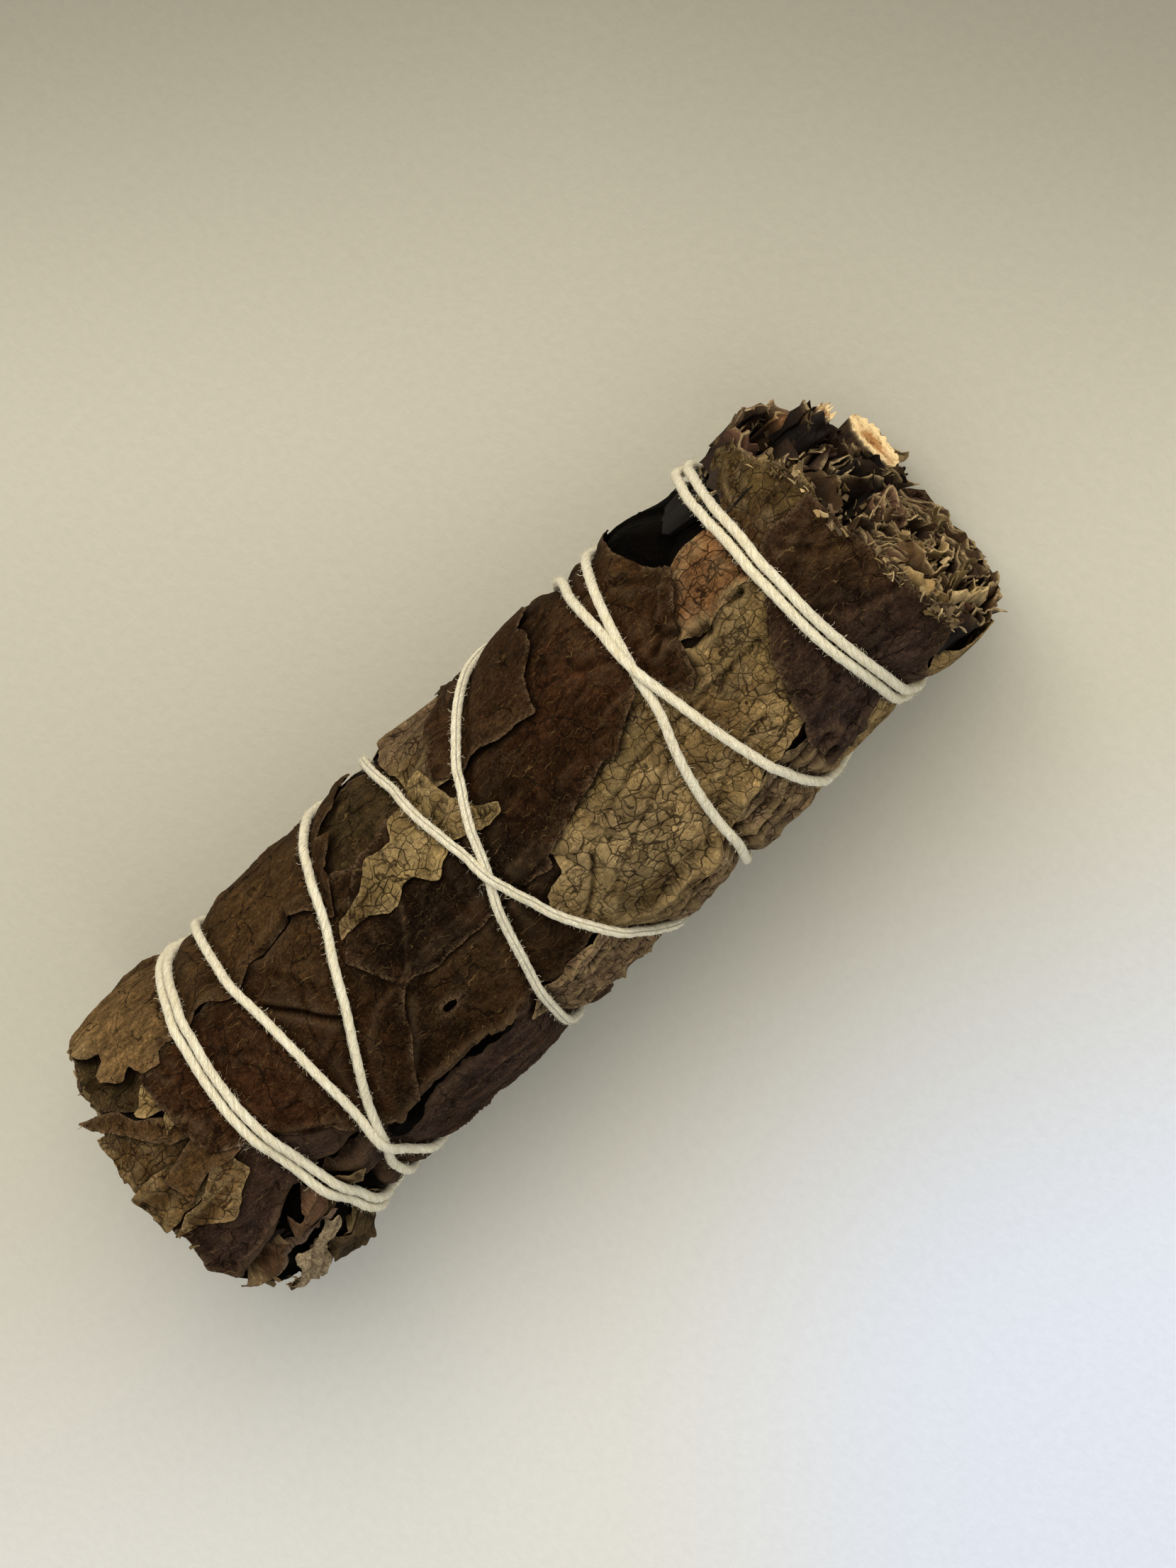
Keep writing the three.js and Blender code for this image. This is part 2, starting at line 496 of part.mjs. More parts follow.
// The two cut stalks, each an oval rod cut off at a slant
function stalkSolid(stalk, clearance) {
  const [centreX, centreY, centreZ] = stalk.end;
  const oval = new THREE.Shape();
  const width = stalk.width / 2 + clearance;
  const height = stalk.height / 2 + clearance;
  oval.absellipse(0, 0, height, width, 0, 2 * Math.PI, false, 0);
  const curve = new THREE.LineCurve3(
    new THREE.Vector3(centreX - stalk.length - clearance, centreY + stalk.drift, centreZ),
    new THREE.Vector3(centreX + stalk.width, centreY, centreZ),
  );
  const rod = toSolid(new THREE.ExtrudeGeometry(oval, {
    steps: 1, curveSegments: STALK_SIDES / 2, extrudePath: curve, bevelEnabled: false,
  }));
  if (clearance) return rod;
  const reach = 4 * stalk.width;
  const knife = new THREE.BoxGeometry(reach, reach, reach);
  knife.translate(reach / 2, 0, 0);
  knife.rotateY(-radians(stalk.slant));
  knife.translate(centreX, centreY, centreZ);
  return rod.subtract(toSolid(knife));
}

// The packed inside: a core under the wrapping leaves, with rolled leaves standing out at its two ends
function coreSolid() {
  const points = [];
  const triangles = [];
  const lastRow = GRID_S_COUNT - 2;
  for (let row = 1; row <= lastRow; row += 1) {
    for (let column = 0; column < GRID_PHI_COUNT; column += 1) {
      points.push(placeOnAxis(gridS(row), gridPhi(column), insideRadius(row, column)));
    }
  }
  const at = (row, column) => (row - 1) * GRID_PHI_COUNT + wrap(column);
  for (let row = 1; row < lastRow; row += 1) {
    for (let column = 0; column < GRID_PHI_COUNT; column += 1) {
      const a = at(row, column);
      const b = at(row + 1, column);
      const c = at(row + 1, column + 1);
      const d = at(row, column + 1);
      triangles.push([a, b, c], [a, c, d]);
    }
  }
  const left = points.push([gridS(1), 0, 0]) - 1;
  const right = points.push([gridS(lastRow), 0, 0]) - 1;
  for (let column = 0; column < GRID_PHI_COUNT; column += 1) {
    triangles.push([left, at(1, column), at(1, column + 1)]);
    triangles.push([right, at(lastRow, column + 1), at(lastRow, column)]);
  }
  return toSolid(geometryOf(points, triangles));
}

function endCutter() {
  const reach = 2 * RADIUS_LEAF_END;
  const rightEnd = (y) => STALK_END_X - CORE_RECESS - STALK_END_SLOPE * y;
  const left = LEAF_END_X + CORE_RECESS;
  const plan = new THREE.Shape([
    new THREE.Vector2(left, -reach),
    new THREE.Vector2(rightEnd(-reach), -reach),
    new THREE.Vector2(rightEnd(reach), reach),
    new THREE.Vector2(left, reach),
  ]);
  const cutter = new THREE.ExtrudeGeometry(plan, { depth: 2 * reach, bevelEnabled: false });
  cutter.translate(0, 0, -reach);
  return toSolid(cutter);
}

// One rolled leaf at an end: a strip that winds round the axis and stands out of the core
function rolledLeaf(end, layer, random) {
  const share = mix(ROLL_INNERMOST, ROLL_OUTERMOST, layer / (ROLL_COUNT - 1));
  const start = layer * ROLL_TURN + ROLL_TURN_STRAY * random();
  const span = mix(...ROLL_SPANS, random());
  const phase = 2 * Math.PI * random();
  const points = [];
  const triangles = [];
  for (let i = 0; i < ROLL_STATIONS; i += 1) {
    const t = i / (ROLL_STATIONS - 1);
    const phi = (start + span * t) % 360;
    const wave = ROLL_WAVE * Math.sin(ROLL_WAVES * t + phase) - ROLL_CURL * t * t;
    const limit = radiusBetween(end * ROLL_LIMIT_S, phi, insideRadius) - ROLL_CLEARANCE;
    const reached = Math.max(share + wave, ROLL_NARROWEST);
    const radius = limit * Math.min(reached, 1 - ROLL_THICKNESS / limit);
    const y = radius * Math.sin(radians(phi));
    const tip = end > 0 ? STALK_END_X - STALK_END_SLOPE * y : -LEAF_END_X;
    const ragged = ROLL_RAGGED * (random() + 0.5 * Math.sin(ROLL_TEETH * t + phase) - 0.5);
    const far = end * (tip + ragged);
    const root = end * (tip - CORE_RECESS - ROLL_ROOT);
    points.push(
      placeOnAxis(root, phi, radius), placeOnAxis(root, phi, radius + ROLL_THICKNESS),
      placeOnAxis(far, phi, radius + ROLL_THICKNESS), placeOnAxis(far, phi, radius),
    );
    if (i === 0) continue;
    const base = 4 * (i - 1);
    for (let side = 0; side < 4; side += 1) {
      const a = base + side;
      const b = base + ((side + 1) % 4);
      triangles.push([a, b, b + 4], [a, b + 4, a + 4]);
    }
  }
  const last = 4 * (ROLL_STATIONS - 1);
  triangles.push([0, 2, 1], [0, 3, 2], [last, last + 1, last + 2], [last, last + 2, last + 3]);
  const faces = end > 0 ? triangles : triangles.map(([a, b, c]) => [a, c, b]);
  return toSolid(geometryOf(points, faces));
}

function insideSolid() {
  const random = makeRandom(ROLL_SEED);
  let solid = coreSolid().intersect(endCutter());
  for (const end of [-1, 1]) {
    for (let layer = 0; layer < ROLL_COUNT; layer += 1) {
      solid = solid.add(rolledLeaf(end, layer, random));
    }
  }
  for (const stalk of STALKS) {
    solid = solid.subtract(stalkSolid(stalk, GAP));
  }
  return largestPiece(solid);
}

// The string's route as fine samples: place along and round the stick, and distance from the axis
function sampleRoute() {
  const controls = [];
  for (const { turn, points } of STRING_ROUTE) {
    for (const [phi, s] of points) {
      controls.push(new THREE.Vector3((phi + 360 * turn) * MM_PER_DEGREE, s, 0));
    }
  }
  const curve = new THREE.CatmullRomCurve3(controls, false, 'centripetal');
  const fine = curve.getPoints(controls.length * ROUTE_SAMPLES);
  const samples = [];
  const first = controls[0].x / MM_PER_DEGREE;
  const last = controls[controls.length - 1].x / MM_PER_DEGREE;
  let k = 0;
  for (let phi = first; phi <= last + TINY; phi += ROUTE_STEP) {
    while (k < fine.length - 2 && fine[k + 1].x / MM_PER_DEGREE < phi) k += 1;
    const a = fine[k];
    const b = fine[k + 1];
    const t = Math.min((phi * MM_PER_DEGREE - a.x) / (b.x - a.x), 1);
    samples.push({ phi, s: mix(a.y, b.y, t) });
  }
  return samples;
}

function lapOver(samples) {
  const reach = 2 * STRING_RADIUS * STRING_BITE;
  const apart = LAP_APART / ROUTE_STEP;
  samples.forEach((sample, i) => {
    const round = withinTurn(sample.phi);
    sample.radius = radiusBetween(sample.s, round, outsideAt) + GAP + STRING_RADIUS;
    const knotPlace = Math.hypot((round - KNOT_PHI) * MM_PER_DEGREE, sample.s - KNOT_S);
    sample.radius += KNOT_RISE * Math.exp(-((knotPlace / KNOT_SPREAD) ** 2));
    sample.rise = sample.radius;
    for (let j = 0; j < i - apart; j += 1) {
      const other = samples[j];
      const turns = Math.round((sample.phi - other.phi) / 360);
      const across = (sample.phi - other.phi - 360 * turns) * MM_PER_DEGREE;
      const distance = Math.hypot(across, sample.s - other.s);
      if (distance < reach) {
        sample.rise = Math.max(sample.rise, other.radius + Math.sqrt(reach * reach - distance * distance));
      }
    }
  });
  const stepLength = ROUTE_STEP * MM_PER_DEGREE;
  for (const order of [1, -1]) {
    for (let k = 1; k < samples.length; k += 1) {
      const i = order > 0 ? k : samples.length - 1 - k;
      const before = samples[i - order];
      samples[i].rise = Math.max(samples[i].rise, before.rise - HUMP_SLOPE * stepLength);
    }
  }
}

// Keeps a sample at each height line, and between them where the string climbs over itself
function thinRoute(samples) {
  const kept = [samples[0]];
  let anchor = 0;
  for (let i = 1; i < samples.length; i += 1) {
    const column = samples[i].phi / GRID_PHI_STEP;
    const onLine = Math.abs(column - Math.round(column)) < TINY;
    let bent = false;
    for (let k = anchor + 1; k < i; k += 1) {
      const t = (k - anchor) / (i - anchor);
      const rise = mix(samples[anchor].rise, samples[i].rise, t);
      bent = bent || Math.abs(rise - samples[k].rise) > STRING_SAG;
    }
    if (bent && samples[i - 1] !== kept[kept.length - 1]) {
      kept.push(samples[i - 1]);
      anchor = i - 1;
    }
    if (onLine || i === samples.length - 1) {
      kept.push(samples[i]);
      anchor = i;
    }
  }
  return kept;
}

// Rings of a tube through points, with its sides turned to the bundle's axis
function ringsThrough(points) {
  return points.map((point, i) => {
    const before = points[Math.max(i - 1, 0)];
    const after = points[Math.min(i + 1, points.length - 1)];
    const ahead = after.clone().sub(before).normalize();
    const out = new THREE.Vector3(0, point.y, point.z);
    out.addScaledVector(ahead, -out.dot(ahead)).normalize();
    const side = new THREE.Vector3().crossVectors(ahead, out);
    return Array.from({ length: STRING_SIDES }, (_, k) => {
      const angle = (2 * Math.PI * k) / STRING_SIDES;
      return point.clone()
        .addScaledVector(out, STRING_RADIUS * Math.cos(angle))
        .addScaledVector(side, STRING_RADIUS * Math.sin(angle)).toArray();
    });
  });
}

function tubeOfRings(rings) {
  const sides = STRING_SIDES;
  const triangles = [];
  for (let i = 0; i + 1 < rings.length; i += 1) {
    for (let k = 0; k < sides; k += 1) {
      const a = i * sides + k;
      const b = i * sides + ((k + 1) % sides);
      triangles.push([a, b, b + sides], [a, b + sides, a + sides]);
    }
  }
  const lastRing = (rings.length - 1) * sides;
  for (let k = 1; k + 1 < sides; k += 1) {
    triangles.push([0, k + 1, k], [lastRing, lastRing + k, lastRing + k + 1]);
  }
  return toSolid(geometryOf(rings.flat(), triangles));
}

function onAxis(s, phi, radius) {
  return new THREE.Vector3(...placeOnAxis(s, phi, radius));
}

// The knot: two loops of the string round its own ends, and the two ends cut off beyond them
function knotSolids() {
  const liftedRadius = (s, phi, lift) => radiusBetween(s, phi, outsideAt) + GAP + STRING_RADIUS + lift;
  const centre = onAxis(KNOT_S, KNOT_PHI, liftedRadius(KNOT_S, KNOT_PHI, KNOT_RISE));
  const loops = KNOT_LOOP_TURNS.map((turn) => {
    const loop = new THREE.TorusGeometry(KNOT_LOOP, STRING_RADIUS, STRING_SIDES, KNOT_LOOP_SIDES);
    loop.rotateY(radians(turn));
    loop.rotateX(radians(90 - KNOT_PHI));
    loop.translate(centre.x, centre.y, centre.z);
    return toSolid(loop);
  });
  const tails = KNOT_TAILS.map((tail) => {
    const points = tail.map(([phi, s, lift]) => onAxis(s, phi, liftedRadius(s, phi, lift)));
    return tubeOfRings(ringsThrough(points));
  });
  return [...loops, ...tails];
}

function stringSolid() {
  const samples = sampleRoute();
  lapOver(samples);
  const points = thinRoute(samples).map(({ s, phi, rise }) => onAxis(s, withinTurn(phi), rise));
  const rings = ringsThrough(points);
  const pieces = [];
  for (let i = 0; i < rings.length - 1; i += STRING_PIECE) {
    pieces.push(tubeOfRings(rings.slice(i, i + STRING_PIECE + 1)));
  }
  const joined = wasm.Manifold.union([...pieces, ...knotSolids()]);
  const reach = 2 * LENGTH;
  const ground = new THREE.BoxGeometry(reach, reach, reach);
  ground.translate(0, 0, -AXIS_HEIGHT - reach / 2);
  return largestPiece(joined.subtract(toSolid(ground)));
}

const group = new THREE.Group();
group.position.set(-MIDDLE_X, -MIDDLE_Y, AXIS_HEIGHT);

function addMesh(name, geometry, colour, roughness = 0.85) {
  geometry.computeVertexNormals();
  const material = new THREE.MeshStandardMaterial({ color: colour, roughness, metalness: 0 });
  const mesh = new THREE.Mesh(geometry, material);
  mesh.name = name;
  group.add(mesh);
}

addMesh('inner_leaves', toGeometry(insideSolid()), BROWN);
for (const stalk of STALKS) {
  addMesh(stalk.name, toGeometry(stalkSolid(stalk, 0)), STALK_PALE);
}
for (const leaf of LEAVES) {
  addMesh(leaf.name, leafGeometry(leaf), leaf.colour);
}
addMesh('string', toGeometry(stringSolid()), COTTON);

export default group;
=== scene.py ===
# A smudge stick: dried leaves rolled round two cut stalks and bound with one cotton string.
# Places on the bundle are (s, phi): s in millimetres along its axis from the middle, phi in degrees round
# it, from straight up (0) towards +Y (90), underneath (180) and -Y (-90). Shapes are worked out in
# millimetres from the axis, and turned into metres in the part's own frame when a mesh is made.
import math

import bpy
import numpy as np
from mathutils import Matrix, Vector, kdtree


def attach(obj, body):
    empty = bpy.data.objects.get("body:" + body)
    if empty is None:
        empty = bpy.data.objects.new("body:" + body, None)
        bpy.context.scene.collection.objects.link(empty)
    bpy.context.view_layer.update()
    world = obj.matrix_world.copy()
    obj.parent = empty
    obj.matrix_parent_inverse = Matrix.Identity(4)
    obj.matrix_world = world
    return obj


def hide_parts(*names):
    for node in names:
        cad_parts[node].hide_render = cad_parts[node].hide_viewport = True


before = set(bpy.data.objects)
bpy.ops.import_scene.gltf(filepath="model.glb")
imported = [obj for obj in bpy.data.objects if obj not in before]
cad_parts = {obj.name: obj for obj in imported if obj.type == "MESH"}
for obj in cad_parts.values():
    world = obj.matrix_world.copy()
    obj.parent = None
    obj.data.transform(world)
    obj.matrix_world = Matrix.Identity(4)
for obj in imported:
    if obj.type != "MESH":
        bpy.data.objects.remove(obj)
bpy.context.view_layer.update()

MM = 0.001
AXIS_PLACE = np.array([0.185, 0.369, 15.75])

# Size of the bundle
LENGTH = 101.6
RADIUS_LEAF_END = 16.75
RADIUS_STALK_END = 15.0
FLAT_BELOW_AXIS = 14.6
FLAT_FACING = 0.2
# Where the double turns of the string draw the bundle in
CINCH_DEPTH = 0.5
CINCH_WIDTH = 3.5
CINCH_PLACES = [-37, 41]
# Lumps of the outside: depth, waves along the bundle and round it, and where they start
LUMPS = [(0.22, 0.19, 2, 1), (0.22, 0.31, -3, 2)]
MEAN_RADIUS = 16.0
MM_PER_DEGREE = math.pi / 180 * MEAN_RADIUS

# Height lines over the whole outside, which every leaf shares, and how many are kept round a leaf
GRID_STEP = 0.3
GRID_FROM = -54.3
GRID_ROWS = 363
GRID_COLUMNS = 336
DEGREES_PER_COLUMN = 360 / GRID_COLUMNS
MARGIN = 10
ROUND_MARGIN = 40

# Each leaf has its own seed for its noise, and the ones that follow it
FIRST_SEED = 100
SEED_STEP = 31

# Leaves
LEAF_THICKNESS = 0.2
EDGE_THICKNESS = 0.09
THIN_EDGE_WIDTH = 0.9
LEAF_CLEARANCE = 0.04
LEAF_LOWEST = 15.55
DRAPE_PASSES = 14
EDGE_SWAY = 0.45
EDGE_SWAY_SIZE = 3.2
EDGE_RAGGED = 0.28
EDGE_RAGGED_SIZE = 1.5
EDGE_NEAREST = 0.03
HOLE_RAGGED = 0.5
HOLE_RAGGED_SIZE = 0.9
EDGE_LIFT = 0.45
EDGE_LIFT_WIDTH = 1.4
LOOSE_EDGE_SIZE = 4.5
LOOSE_EDGE_SHARE = 0.3
CORNER_LIFT_WIDTH = 1.8
CURL_WIDTH = 0.6
CURL_HELD = 0.8
HELD_WIDTH = 1.8
PILE_LIMIT = 1.0
LEAST_ROOM = 0.1
BACK_LEAF_STEP = 2
SHARP_ANGLE = 50
# Wrinkles: how high they stand, how wide they are, and how many times as long along the bundle
LONG_WAVE = (0.34, 3.6, 2.2)
FINE_WAVE = (0.05, 0.9, 1.0)
WIDE_CREASE = (0.2, 5.0, 1.7)
FINE_CREASE = (0.1, 2.3, 1.4)
CRUMPLED_FOLD = (1.3, 2.0, 3.2)

# What a leaf's material reads: painted shade in its hollows and beside leaves laid over it, painted
# highlights on its ridges, its rim, and its tone from place to place
COVER_SHADE = 2.0
COVER_PASSES = 3
SHADE_PASSES = 8
HOLLOW_SHADE_DEPTH = 0.35
RIDGE_HIGHLIGHT_HEIGHT = 0.25
RIM_WIDTH = 0.32
TONE_SHARE = 0.22
TONE_SIZE = 7.0
STAIN_SHARE = 0.9
STAIN_RAGGED = 0.35
STAIN_RAGGED_SIZE = 3.0
PATTERN_APART = 13.0

# String
STRING_RADIUS = 0.52
STRING_STEP = 1.0
STRING_BITE = 0.85
STRING_SINK = 0.12
STRING_GROOVE = 0.3
STRING_GROOVE_WIDTH = 1.0
STRING_LAP_APART = 30
STRING_HUMP_SLOPE = 0.35
STRING_LOWEST = 15.16
STRING_PIECE = 0.42
STRING_SIDES = 18
PLY_COUNT = 3
PLY_DEPTH = 0.06
PLY_PITCH = 4.6
# The knot, and its two cut ends as (phi, s, how far off the leaves)
KNOT_PHI = 240
KNOT_S = -39.7
KNOT_RISE = 1.0
KNOT_SPREAD = 2.4
KNOT_LOOP = 1.05
KNOT_LOOP_STEP = 15
KNOT_LOOP_TURNS = [0, 55]
KNOT_TAILS = [
    [(240, -39.7, 0.9), (237, -41.6, 0.5), (231, -44, 0.2), (226, -46.6, 0.3), (223, -48.4, 0.6)],
    [(240, -39.7, 0.9), (244, -41.4, 0.6), (251, -43.2, 0.2), (259, -44.6, 0.2), (266, -46.8, 0.5)],
]
KNOT_TAIL_POINTS = 30


def paint(red, green, blue):
    """A colour as the eye reads it, from 0 to 255, as the light it gives back."""
    shares = [c / 255 for c in (red, green, blue)]
    return tuple(c / 12.92 if c < 0.04045 else ((c + 0.055) / 1.055) ** 2.4 for c in shares)


CHOCOLATE = paint(35, 21, 8)
NEAR_BLACK = paint(20, 12, 6)
# Painted shadow: the colour of sheets that stand for deep shade in gaps and hollows
PAINTED_SHADOW_BLACK = paint(6, 4, 2)
BROWN = paint(58, 40, 21)
DEEP_BROWN = paint(54, 36, 20)
WARM_BROWN = paint(78, 56, 31)
RED_BROWN = paint(57, 33, 17)
PURPLE_BROWN = paint(49, 33, 23)
GREY_PURPLE = paint(56, 42, 36)
OLIVE = paint(82, 66, 36)
DULL_OLIVE = paint(58, 46, 26)
TAN = paint(139, 113, 70)
PALE_TAN = paint(150, 127, 86)
STRIP_TAN = paint(134, 112, 70)
GOLDEN = paint(128, 100, 62)
ROSY = paint(119, 83, 50)
FADED_ROSE = paint(82, 56, 40)
GREY_ROSE = paint(112, 92, 78)
GREY_TAN = paint(164, 143, 110)
DULL_TAN = paint(94, 71, 40)
DUST = paint(110, 88, 64)
FIBRE_PALE = paint(190, 164, 118)
WOOD_PALE = paint(228, 200, 148)
WOOD_CORE = paint(160, 114, 64)
BARK = paint(34, 21, 12)
COTTON = paint(250, 243, 216)
COTTON_SHADE = paint(222, 208, 168)
COTTON_GROOVE_SHADE = paint(140, 122, 84)
COTTON_FLECK = paint(176, 158, 116)
COTTON_SOILED = paint(222, 204, 158)
CORE_SHADE_BLACK = paint(20, 12, 7)
PAINTED_SHADE_BLACK = paint(14, 9, 6)
WOOD_FIBRE = paint(150, 100, 56)
# The floor's paper: its white, and the light and shade painted on it
PAPER_WHITE = paint(216, 215, 209)
PAPER_COOL_LIGHT = paint(212, 219, 232)
PAPER_LEFT = paint(191, 186, 168)
PAPER_FAR_SHADE = paint(134, 129, 114)
